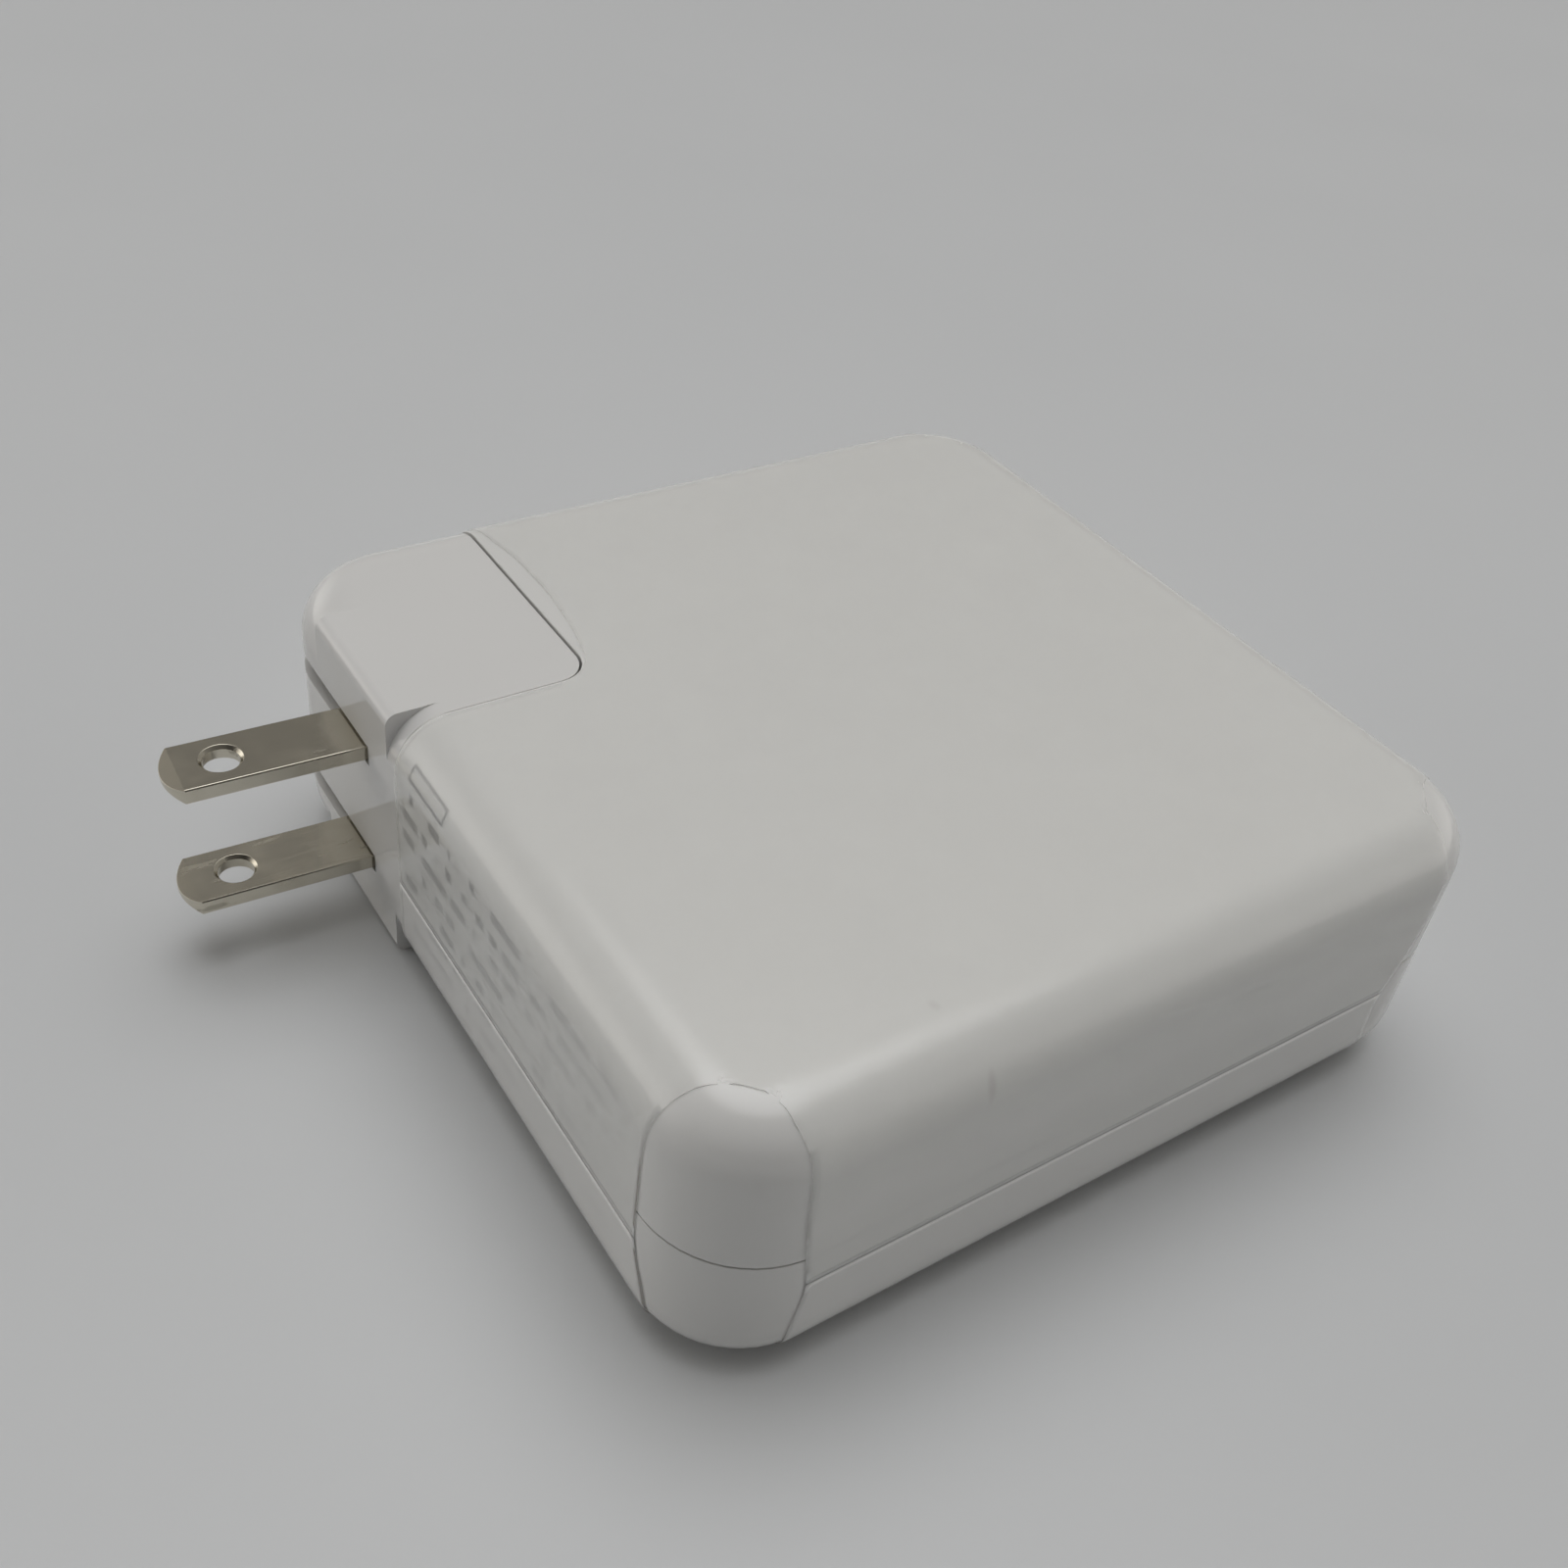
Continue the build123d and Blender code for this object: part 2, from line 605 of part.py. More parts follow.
def blade(z):
    """One flat blade with its hole and its round foot on the carrier."""
    low, high = BLADE_Y - BLADE_WIDTH / 2, BLADE_Y + BLADE_WIDTH / 2
    form = brick(FACE_X - BLADE_OUT - OVER, PIVOT_X, low, high, -BLADE_T / 2, BLADE_T / 2)
    form = chamfer(form.edges().filter_by(Axis.X), BLADE_EDGE)
    form &= extrude(blade_plan(), BLADE_T, both=True)
    form &= extrude(blade_side(), HALF, dir=(0, 1, 0))
    form += along_z(PIVOT_X, PIVOT_Y, -BLADE_T / 2, BLADE_T / 2, BOSS_R)
    hole = (FACE_X - BLADE_HOLE_IN, BLADE_Y)
    form -= along_z(*hole, -BLADE_T, BLADE_T, BLADE_HOLE_R)
    rims = [e for e in form.edges().filter_by(GeomType.CIRCLE) if abs(e.radius - BLADE_HOLE_R) < FIT]
    form = chamfer(rims, BLADE_HOLE_RIM)
    form -= along_z(PIVOT_X, PIVOT_Y, -BLADE_T, BLADE_T, TRUNNION_R + FIT)
    return folded(Pos(0, 0, z) * form)


def blade_carrier():
    """Moulded spindle that ties the two blades together and turns in the housing."""
    low, high = BLADE_Z
    form = along_z(PIVOT_X, PIVOT_Y, low + BLADE_T / 2, high - BLADE_T / 2, BOSS_R)
    end = SLOT_H / 2 + TRUNNION_OUT
    return folded(form + along_z(PIVOT_X, PIVOT_Y, low - end, high + end, TRUNNION_R))


# ---------------------------------------------------------------- boards and sheets
def inlet_space():
    """The room that the board and the sheets leave round the inlet."""
    reach = LOBE_R + LOBE_GAP + INLET_WALL + INLET_FLANGE + INLET_ROOM
    back = CUP_BACK + INLET_ROOM
    return brick(-HALF, back, INLET_CY - reach, INLET_CY + reach, 0, THICK)


def sheet(z0, z1):
    """A flat sheet that follows the case's inside, clear of the board posts and the inlet."""
    half = HALF - SHEET_INSET
    form = brick(-half, half, -half, half, z0, z1)
    form = fillet(form.edges().filter_by(Axis.Z), SHEET_R)
    form -= notch(SHEET_NOTCH, SHEET_NOTCH) + inlet_space()
    return form - posts(0, THICK, POST_R + POST_ROOM)


def main_board():
    """Circuit board on the posts, cut round the notch and the inlet."""
    half = INNER - BOARD_GAP
    form = brick(-half, half, -half, half, BOARD_Z, BOARD_TOP)
    form = fillet(form.edges().filter_by(Axis.Z), BOARD_R)
    return form - notch(WALL + BOARD_GAP, WALL + BOARD_GAP) - inlet_space()


def output_board():
    """Upright board that carries the cable port."""
    half = OUT_BOARD_W / 2
    return brick(PORT_X0 - OUT_BOARD_T, PORT_X0, -half, half, BOARD_TOP, BOARD_TOP + OUT_BOARD_H)


# ---------------------------------------------------------------- parts on the main board
def lying_capacitor():
    """Large can lying along X, with a crimped groove near its sealed end."""
    x0, y = near_left((CAN_X, CAN_Y))
    z = BOARD_TOP + CAN_R
    form = along_x(x0, x0 + CAN_L, y, z, CAN_R)
    form = fillet(form.edges().filter_by(GeomType.CIRCLE), CAN_EDGE)
    groove_x = x0 + CAN_L - CAN_R / 2
    ring = along_x(groove_x - CAN_GROOVE, groove_x + CAN_GROOVE, y, z, CAN_R + OVER)
    return form - (ring - along_x(x0, x0 + CAN_L, y, z, CAN_R - CAN_GROOVE))


def standing_can(place, r, h):
    """Small can standing on the board."""
    form = along_z(*place, BOARD_TOP, BOARD_TOP + h, r)
    return fillet(form.edges().filter_by(GeomType.CIRCLE), CAN_EDGE)


def choke_core():
    """Ring core of the common-mode choke, standing clear of the board by its winding."""
    x, y = near_left(RING_AT)
    z0 = BOARD_TOP + WIRE + FIT
    form = along_z(x, y, z0, z0 + RING_H, RING_R)
    return form - along_z(x, y, 0, THICK, RING_HOLE_R)


def choke_winding():
    """Turns of thick wire round the ring core."""
    x, y = near_left(RING_AT)
    z0 = BOARD_TOP + WIRE + FIT
    mid = (RING_R + RING_HOLE_R) / 2
    width, tall = RING_R - RING_HOLE_R + 2 * FIT, RING_H + 2 * FIT
    outside = Box(width + 2 * WIRE, WIRE, tall + 2 * WIRE)
    turn = outside - Box(width, 2 * WIRE, tall)
    turns = []
    for k in range(RING_TURNS):
        angle = RING_ARC * k / (RING_TURNS - 1)
        turns.append(Pos(x, y, z0 + RING_H / 2) * Rot(0, 0, angle) * Pos(mid, 0, 0) * turn)
    return Compound(children=turns)


def coil_core():
    """Core of the power-factor coil: two cheeks and the legs between them."""
    place = near_left(COIL_AT)
    form = seated(place, COIL)
    x, y = place
    low, high = BOARD_TOP + COIL_CHEEK, BOARD_TOP + COIL[2] - COIL_CHEEK
    window = COIL[1] / 2 - COIL_CHEEK / 2
    form -= brick(x - REACH, x + REACH, y - window, y + window, low, high)
    return form + along_z(x, y, low, high, COIL[0] / 4)


def coil_winding():
    """Winding inside the power-factor coil's core."""
    x, y = near_left(COIL_AT)
    low, high = BOARD_TOP + COIL_CHEEK + COIL_GAP / 2, BOARD_TOP + COIL[2] - COIL_CHEEK - COIL_GAP / 2
    radius = COIL[1] / 2 - COIL_CHEEK / 2 - COIL_GAP
    return along_z(x, y, low, high, radius) - along_z(x, y, 0, THICK, COIL[0] / 4 + FIT)


def transformer_half(upper):
    """One half of the transformer core: a cheek, two side legs and a round middle leg."""
    x, y = near_right(CORE_AT)
    low = BOARD_TOP + CORE_STAND
    middle, high = low + CORE[2] / 2, low + CORE[2]
    form = seated((x, y), CORE, low)
    window = CORE[0] / 2 - CORE_CHEEK
    form -= brick(x - window, x + window, y - REACH, y + REACH, low + CORE_CHEEK, high - CORE_CHEEK)
    form += along_z(x, y, low, high, CORE_LEG_R)
    return form & (slab(middle, high) if upper else slab(low, middle))


def transformer_bobbin():
    """Bobbin on the middle leg, with flanges above and below the winding and feet on the board."""
    x, y = near_right(CORE_AT)
    low = BOARD_TOP + CORE_STAND + CORE_CHEEK + FIT
    high = BOARD_TOP + CORE_STAND + CORE[2] - CORE_CHEEK - FIT
    form = along_z(x, y, low, high, WINDING_R)
    form -= along_z(x, y, low + BOBBIN_T, high - BOBBIN_T, WINDING_R + OVER)
    form += along_z(x, y, low, high, CORE_LEG_R + BOBBIN_T)
    foot_y = CORE[1] / 2 + BOBBIN_T + FIT
    for side in (-1, 1):
        arm = seated((x, y + side * foot_y), (WINDING_R, BOBBIN_T * 2, low + BOBBIN_T - BOARD_TOP))
        arm += seated((x, y + side * foot_y * 3 / 4), (WINDING_R, foot_y / 2, BOBBIN_T), low)
        form += arm
    return form - along_z(x, y, 0, THICK, CORE_LEG_R + FIT)


def transformer_winding():
    """Wound and taped coil on the bobbin."""
    x, y = near_right(CORE_AT)
    low = BOARD_TOP + CORE_STAND + CORE_CHEEK + BOBBIN_T + 2 * FIT
    high = BOARD_TOP + CORE_STAND + CORE[2] - CORE_CHEEK - BOBBIN_T - 2 * FIT
    form = along_z(x, y, low, high, WINDING_R - COIL_GAP / 2)
    return form - along_z(x, y, 0, THICK, CORE_LEG_R + BOBBIN_T + FIT)


def thermal_pad():
    """Soft pad between the transformer and the upper heat spreader."""
    low = BOARD_TOP + CORE_STAND + CORE[2]
    size = (CORE[0], CORE[1], CEILING - SPREADER_T - low)
    return seated(near_right(CORE_AT), size, low)


def switch_place():
    """The switching transistor stands against the heatsink's inner face."""
    x, y = near_left(HEATSINK_AT)
    return x, y + HEATSINK[1] / 2 + SWITCH[1] / 2


def primary_heatsink():
    """Aluminium plate with a hole for the transistor's screw."""
    x, y = near_left(HEATSINK_AT)
    form = seated((x, y), HEATSINK)
    z = BOARD_TOP + SWITCH_SCREW_Z
    return form - along_y(x, y - SWITCH[1], y + SWITCH[1], z, SWITCH_SCREW_R + FIT)


def switch_transistor():
    """Power transistor with its mounting hole."""
    x, y = switch_place()
    form = seated((x, y), SWITCH)
    z = BOARD_TOP + SWITCH_SCREW_Z
    return form - along_y(x, y - SWITCH[1], y + SWITCH[1], z, SWITCH_SCREW_R + FIT)


def switch_screw():
    """Screw through the transistor and the heatsink."""
    x, y = switch_place()
    z = BOARD_TOP + SWITCH_SCREW_Z
    face = y + SWITCH[1] / 2
    form = along_y(x, face - SWITCH[1] - HEATSINK[1], face, z, SWITCH_SCREW_R)
    head = along_y(x, face, face + SWITCH_SCREW_HEAD_T, z, SWITCH_SCREW_HEAD_R)
    slot_y = face + SWITCH_SCREW_HEAD_T / 2
    slot = SWITCH_SCREW_HEAD_R / 5
    return form + head - brick(x - REACH, x + REACH, slot_y, slot_y + OVER, z - slot, z + slot)


def y_capacitor():
    """Disc capacitor standing on edge."""
    x, y = near_back(YCAP_AT)
    form = along_y(x, y - YCAP_T / 2, y + YCAP_T / 2, BOARD_TOP + YCAP_R, YCAP_R)
    return fillet(form.edges().filter_by(GeomType.CIRCLE), YCAP_T / 3)


def output_capacitors():
    """Polymer cans beside the secondary heatsink."""
    cans = [standing_can(near_back(at), OUT_CAN_R, OUT_CAN_H) for at in OUT_CAN_AT]
    return Compound(children=cans)


def control_chips():
    """Control chips on the board."""
    return Compound(children=[seated(near_back(at), CHIP) for at in CHIPS_AT])


def fuse():
    """Cylindrical fuse lying along Y."""
    x, y = near_left(FUSE_AT)
    form = along_y(x, y - FUSE_L / 2, y + FUSE_L / 2, BOARD_TOP + FUSE_R, FUSE_R)
    return fillet(form.edges().filter_by(GeomType.CIRCLE), CAN_EDGE)


def x_capacitor():
    """Box capacitor across the mains."""
    form = seated(near_left(XCAP_AT), XCAP)
    return fillet(form.edges().filter_by(Axis.Z), CAN_EDGE)


def bridge_rectifier():
    """Bridge rectifier with one chamfered corner."""
    form = seated(near_left(BRIDGE_AT), BRIDGE)
    return chamfer(form.edges().filter_by(Axis.X).sort_by(Axis.Z)[-1], BRIDGE[0] / 2)


def lead(pin_z, run):
    """Insulated lead from a pin's tail, turning down to the board."""
    start = CUP_BACK + PIN_TAIL
    corner = (start + run, INLET_CY, pin_z)
    foot = (start + run, INLET_CY, BOARD_TOP)
    path = FilletPolyline((start, INLET_CY, pin_z), corner, foot, radius=LEAD_BEND)
    return sweep(Plane(origin=path @ 0, z_dir=path % 0) * Circle(LEAD_R), path=path)


# ---------------------------------------------------------------- write every sub-part
def main():
    os.makedirs("parts", exist_ok=True)
    save("upper_shell", upper_shell())
    save("lower_shell", lower_shell())
    save("upper_film", upper_film())
    save("lower_film", lower_film())
    save("inlet_socket", inlet_socket())
    save("inlet_pins", inlet_pins())
    save("lock_stud", lock_stud())
    save("port_shell", port_shell())
    save("port_tongue", port_tongue())

    save("plug_housing", plug_housing())
    save("rear_cover", rear_cover())
    for side, blade_z, pin_z in zip(("lower", "upper"), BLADE_Z, PIN_Z):
        save(side + "_blade", blade(blade_z))
        save(side + "_sleeve", socket_sleeve(pin_z))
        save(side + "_contact", contact_strip(blade_z, pin_z))
    save("blade_carrier", blade_carrier())
    save("detent_spring", detent_spring())

    save("lower_spreader", sheet(WALL, WALL + SPREADER_T))
    save("insulating_sheet", sheet(BOARD_Z - INSULATOR_T, BOARD_Z))
    save("upper_spreader", sheet(CEILING - SPREADER_T, CEILING))
    save("main_board", main_board())
    save("output_board", output_board())
    for name, pin_z, run in zip(("live_lead", "neutral_lead"), PIN_Z, LEAD_RUN):
        save(name, lead(pin_z, run))
    save("fuse", fuse())
    save("x_capacitor", x_capacitor())
    save("choke_core", choke_core())
    save("choke_winding", choke_winding())
    save("bridge_rectifier", bridge_rectifier())
    save("coil_core", coil_core())
    save("coil_winding", coil_winding())
    save("bulk_capacitor", lying_capacitor())
    save("supply_capacitor", standing_can(near_back(SMALL_CAN_AT), SMALL_CAN_R, SMALL_CAN_H))
    save("primary_heatsink", primary_heatsink())
    save("switch_transistor", switch_transistor())
    save("switch_screw", switch_screw())
    save("transformer_core_lower", transformer_half(False))
    save("transformer_core_upper", transformer_half(True))
    save("transformer_bobbin", transformer_bobbin())
    save("transformer_winding", transformer_winding())
    save("thermal_pad", thermal_pad())
    save("y_capacitor", y_capacitor())
    save("secondary_heatsink", seated(near_back(SINK2_AT), SINK2))
    save("output_capacitors", output_capacitors())
    save("control_chips", control_chips())


main()
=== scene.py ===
# %% [markdown]
# # A laptop wall charger with a slide-off folding plug
# The charger is a white two-part case, nearly square, with one corner cut out for a plug module that slides
# off. It is still wrapped in the clear film that it was sold in. The measured parts come in as a fixed frame.
# This script adds what the frame cannot hold: the finishes, the soft film, broken edges and the light.

import json
import math

import bmesh
import bpy
import numpy as np
from mathutils import Matrix, Vector


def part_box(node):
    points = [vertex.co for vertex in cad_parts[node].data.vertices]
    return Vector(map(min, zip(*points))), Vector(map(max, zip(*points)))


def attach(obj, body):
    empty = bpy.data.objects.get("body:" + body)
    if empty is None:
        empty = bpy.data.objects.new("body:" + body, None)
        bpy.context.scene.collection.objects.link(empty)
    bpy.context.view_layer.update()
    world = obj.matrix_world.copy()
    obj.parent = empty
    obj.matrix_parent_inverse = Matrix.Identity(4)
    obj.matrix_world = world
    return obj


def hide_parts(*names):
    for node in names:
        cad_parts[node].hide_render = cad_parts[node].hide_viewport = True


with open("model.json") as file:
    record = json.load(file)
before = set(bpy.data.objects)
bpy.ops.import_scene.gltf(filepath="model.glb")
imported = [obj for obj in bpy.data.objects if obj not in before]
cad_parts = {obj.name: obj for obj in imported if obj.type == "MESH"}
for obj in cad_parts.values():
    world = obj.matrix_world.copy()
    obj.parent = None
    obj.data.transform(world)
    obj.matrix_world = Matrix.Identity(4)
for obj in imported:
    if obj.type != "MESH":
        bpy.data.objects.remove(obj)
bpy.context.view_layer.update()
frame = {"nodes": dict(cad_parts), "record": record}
nodes = frame["nodes"]
MM = 0.001

# %% [markdown]
# ## Driving sizes
# Places are read from the frame's own boxes where they can be, in millimetres. Radii and gaps, which a box
# cannot tell, are written here.

# %% Sizes of the case, the plug and the film
def box_mm(node):
    """Lowest and highest corner of a node, in millimetres."""
    low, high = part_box(node)
    return np.array(low) / MM, np.array(high) / MM


case_high = box_mm("upper_shell")[1]
HALF = case_high[0]                     # half the case's width
THICK = case_high[2]
MID_Z = THICK / 2
SEAM_Z = MID_Z                          # the case's two halves meet here
CORNER_R = 9.4                          # upright corners
TOP_R = 5.1                             # edge round the top
BOTTOM_R = 5.7                          # edge round the underside
WALL = 2.2
SEAM_GAP = 0.15
LIP_T = 0.9                             # tongue behind the seam
LIP_H = 1.6
LIP_GAP = 0.08
EDGE = 0.14                             # softened edges of the notch
SEAM_R = 0.1                            # softened edges of the seam
INLET_RIM = 1.2                         # the inlet's rim is this much larger than its hole
INLET_FIT = 0.03
PORT_FIT = 0.15                         # gap round the cable port
STUD_HOLE = 2.46                        # the stud's neck and its clearance
plug_low, plug_high = box_mm("plug_housing")
WALL_A = plug_high[0] + 0.25            # notch wall behind the plug
WALL_B = plug_low[1] - 0.15             # notch wall beside the plug
NOTCH_R = 3.0
print(f"case {2 * HALF:.1f} x {2 * HALF:.1f} x {THICK:.1f} mm, notch walls at {WALL_A:.2f} and {WALL_B:.2f}")

# %% [markdown]
# ## Mesh helpers
# Most of this product is one idea repeated: a rounded outline carried through a profile. The helpers turn
# whole arrays of points into a mesh at once, so a shape stays a formula and not a list of vertices.

# %% Grids of points into meshes
def link(name, mesh):
    """Puts a mesh into the scene as a piece at the origin."""
    piece = bpy.data.objects.new(name, mesh)
    bpy.context.scene.collection.objects.link(piece)
    return piece


def grid_mesh(name, rings):
    """Closes rings of points into a skin.

    rings is (rows, columns, 3) in millimetres. Face (i, j) joins columns j and j + 1 of rows i and i + 1,
    columns wrap round, and the first and last rows are closed by one face each.
    """
    rows, cols = rings.shape[:2]
    i, j = np.meshgrid(np.arange(rows - 1), np.arange(cols), indexing="ij")
    k = (j + 1) % cols
    quads = np.stack([i * cols + j, i * cols + k, (i + 1) * cols + k, (i + 1) * cols + j], -1)
    faces = quads.reshape(-1, 4).tolist()
    faces.append(np.arange(cols)[::-1].tolist())
    faces.append((np.arange(cols) + (rows - 1) * cols).tolist())
    mesh = bpy.data.meshes.new(name)
    mesh.from_pydata((rings.reshape(-1, 3) * MM).tolist(), [], faces)
    mesh.update()
    return mesh


def corner_loops(corners, radii, steps=14):
    """Outlines through right-angled corners, each rounded by a quarter arc.

    With a the unit direction into a corner and b the one out of it, the arc's centre is corner + r (b - a)
    and its points are centre + r (a sin t - b cos t), for t from 0 to a quarter turn.
    """
    a = corners - np.roll(corners, 1, axis=-2)
    b = np.roll(corners, -1, axis=-2) - corners
    a = a / np.linalg.norm(a, axis=-1, keepdims=True)
    b = b / np.linalg.norm(b, axis=-1, keepdims=True)
    r = radii[..., None]
    centre = corners + r * (b - a)
    t = np.linspace(0, np.pi / 2, steps)[:, None]
    arc = a[..., None, :] * np.sin(t) - b[..., None, :] * np.cos(t)
    points = centre[..., None, :] + r[..., None] * arc
    return points.reshape(*points.shape[:-3], -1, 2)


def stack(outlines, heights):
    """Adds a height to each outline: (rows, columns, 2) and (rows,) give (rows, columns, 3)."""
    z = np.broadcast_to(heights[:, None, None], (*outlines.shape[:2], 1))
    return np.concatenate([outlines, z], -1)


def arc_profile(radius, depth, height, up, steps=22):
    """A quarter round from an upright wall to a level face.

    depth + r (1 - cos t) is the inset and height -+ r (1 - sin t) the height, for t from 0 to a quarter turn.
    """
    t = np.linspace(0, np.pi / 2, steps)
    return depth + radius * (1 - np.cos(t)), height - up * radius * (1 - np.sin(t))


def prism(name, size, radius, span, centre, axis):
    """A bar along an axis: a rectangle of the given size with rounded corners, carried from end to end.

    Used as a cutter, so its place is in its points and it is removed after use.
    """
    u, v = size[0] / 2, size[1] / 2
    corners = np.array([[-u, -v], [u, -v], [u, v], [-u, v]])
    outline = corner_loops(corners, np.full(4, radius), 24)
    rings = stack(np.stack([outline, outline]), np.array(span, float))
    turn = {"x": [2, 0, 1], "y": [1, 2, 0], "z": [0, 1, 2]}[axis]
    offset = np.insert(np.array(centre, float), {"x": 0, "y": 1, "z": 2}[axis], 0)
    return link(name, grid_mesh(name, rings[..., turn] + offset))


def settle(piece):
    """Applies a piece's modifiers to its mesh."""
    shape = piece.evaluated_get(bpy.context.evaluated_depsgraph_get())
    mesh = bpy.data.meshes.new_from_object(shape)
    piece.modifiers.clear()
    piece.data = mesh
    return piece


def cut(piece, *cutters):
    """Takes each cutter's shape out of a piece and removes the cutter."""
    for cutter in cutters:
        modifier = piece.modifiers.new("cut", "BOOLEAN")
        modifier.operation = "DIFFERENCE"
        modifier.solver = "EXACT"
        modifier.object = cutter
    bpy.context.view_layer.update()
    settle(piece)
    for cutter in cutters:
        bpy.data.objects.remove(cutter)
    return piece


def smooth(piece, angle=30):
    """Smooth shading except over edges sharper than the angle, with flat faces kept flat."""
    mesh = piece.data
    mesh.polygons.foreach_set("use_smooth", np.ones(len(mesh.polygons), bool))
    mesh.set_sharp_from_angle(angle=math.radians(angle))
    weighted = piece.modifiers.new("flat faces stay flat", "WEIGHTED_NORMAL")
    weighted.keep_sharp = True
    weighted.weight = 100
    return piece


square = np.array([[-1.0, -1.0], [1.0, -1.0], [1.0, 1.0], [-1.0, 1.0]])
print("a rounded square has", len(corner_loops(square, np.full(4, 0.5))), "points")

# %% [markdown]
# ## Case
# The real case is two moulded halves, a tongue on the lower one hidden behind the seam. Its corners are
# upright rounds of 9.4 mm, and its top and bottom edges roll over at 5 to 6 mm. A rounded cube with a bevel
# would round the notch as well, but the notch is nearly sharp. So each half is an outline of six corners,
# carried through a profile that insets the outer sides and the notch walls by different amounts.

# %% Case halves
def case_rings(height, inset, notch_inset, notch_edge):
    """Outlines of the case, one for each height.

    The outer sides stand at half the width less the inset, the notch walls move into the case by their own
    inset, and the corner radii follow: less the inset outside, plus the inset in the notch's inner corner.
    """
    h = HALF - inset
    x, y = WALL_A + notch_inset, WALL_B - notch_inset
    corners = np.stack([np.stack(c, -1) for c in ((-h, -h), (h, -h), (h, h), (x, h), (x, y), (-h, y))], -2)
    outer = CORNER_R - inset
    radii = np.stack([outer, outer, outer, notch_edge, NOTCH_R + notch_inset, notch_edge], -1)
    return stack(corner_loops(corners, radii), height)


def edge_round(height, limit, up):
    """How far a small round moves a wall in, near a level face: r - sqrt(r^2 - rise^2)."""
    rise = np.clip(EDGE - up * (limit - height), 0, EDGE)
    return EDGE - np.sqrt(EDGE ** 2 - rise ** 2)


def case_half(name, up):
    """One half of the case as a closed wall.

    The profile runs along the inner face, across the tongue or its recess to the seam, and back over the
    outside. up is 1 for the upper half and -1 for the lower one.
    """
    radius = TOP_R if up > 0 else BOTTOM_R
    limit = THICK if up > 0 else 0.0
    gap = LIP_GAP if up > 0 else 0.0
    seam = SEAM_Z + SEAM_GAP if up > 0 else SEAM_Z
    tip = SEAM_Z + LIP_H + gap
    lip = WALL - LIP_T - gap
    inner_d, inner_z = arc_profile(radius - WALL, WALL, limit - up * WALL, up)
    seam_d, seam_z = arc_profile(SEAM_R, 0, seam, -up, 4)
    outer_d, outer_z = arc_profile(radius, 0, limit, up)
    step = [WALL, lip, lip]
    depth = np.concatenate([inner_d[::-1], step, seam_d[::-1], outer_d])
    height = np.concatenate([inner_z[::-1], [tip, tip, seam], seam_z[::-1], outer_z])
    softened = edge_round(outer_z, limit, up)
    notch_in = np.concatenate([np.full(len(inner_d), WALL), step, seam_d[::-1], softened])
    rings = case_rings(height, depth, notch_in, np.full(len(depth), EDGE))
    return link(name, grid_mesh(name, rings if up > 0 else rings[::-1]))


def case_cutters():
    """Round bars through the walls for the mains inlet, the plug's stud and the cable port."""
    inlet_low, inlet_high = box_mm("inlet_socket")
    port_low, port_high = box_mm("port_shell")
    stud_low, stud_high = box_mm("lock_stud")
    size = inlet_high[1:] - inlet_low[1:] - 2 * INLET_RIM + 2 * INLET_FIT
    centre = (inlet_high[1:] + inlet_low[1:]) / 2
    inlet = prism("inlet", size, size[0] / 2, (WALL_A - 1, WALL_A + WALL + 1), centre, "x")
    size = port_high[1:] - port_low[1:] + 2 * PORT_FIT
    port = prism("port", size, size[1] / 2, (HALF - WALL - 1, HALF + 1), (0, MID_Z), "x")
    centre = ((stud_low[0] + stud_high[0]) / 2, MID_Z)
    stud = prism("stud", (STUD_HOLE, STUD_HOLE), STUD_HOLE / 2, (WALL_B - WALL - 1, WALL_B + 1), centre, "y")
    return inlet, port, stud


upper_case = smooth(cut(case_half("upper_case", 1), *case_cutters()))
lower_case = smooth(cut(case_half("lower_case", -1), *case_cutters()))
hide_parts("upper_shell")
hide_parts("lower_shell")
for piece in (upper_case, lower_case):
    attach(piece, "brick")
    print(piece.name, len(piece.data.polygons), "faces")

# %% [markdown]
# ## Protective film
# The film is one clear sheet laid over the top and folded down the four sides, with its corners cut away,
# and a second set of flaps that comes up from below. Cloth simulation would crumple it, but this film is
# pulled tight. So it is worked out as a flat sheet: every point has two distances from the middle, and a fold
# formula carries them over the rounded edge. The cut edges wander a little, as scissors leave them, and
# the sheet stands off very slightly more at its edges.

# %% The fold, and a sheet cut from a grid
FILM_T = 0.04                           # film's thickness
FILM_REST = 0.03                        # film above the plastic
FILM_LIFT = 0.015                       # further lift at the cut edges
FILM_RIPPLE = 0.022                     # height of its slow ripple
FOLLOW = 0.75                           # how far the flaps' edges follow the round corners
CUT_HALF = HALF - 8.6                   # flaps' half width
EAR = 9.0                               # rounding of the sheet between two flaps
FILM_A = WALL_A + 0.6                   # film's edges beside the notch
FILM_B = WALL_B - 0.35
FILM_TURN = 4.2                         # film's rounded turn at the notch's inner corner
SPLIT_Z = 11.0                          # where the upper and lower flaps meet
LAP = 0.1
FOOT_Z = 0.6                            # lower end of the lower flaps
WINDOW_Y = 6.0                          # half width of the window round the cable port
WINDOW_Z = MID_Z + 3.0
CELL = 0.7                              # spacing of the sheet's grid
LIFT_REACH = 0.9                        # distance from a cut edge over which the lift fades
RIM_REACH = 0.35                        # the same for the finish of the rim
NOTCH_FADE = 14.0                       # distance over which the straying of the notch's edge fades
FLAP_FADE = 9.0                         # the same for a flap's side edges


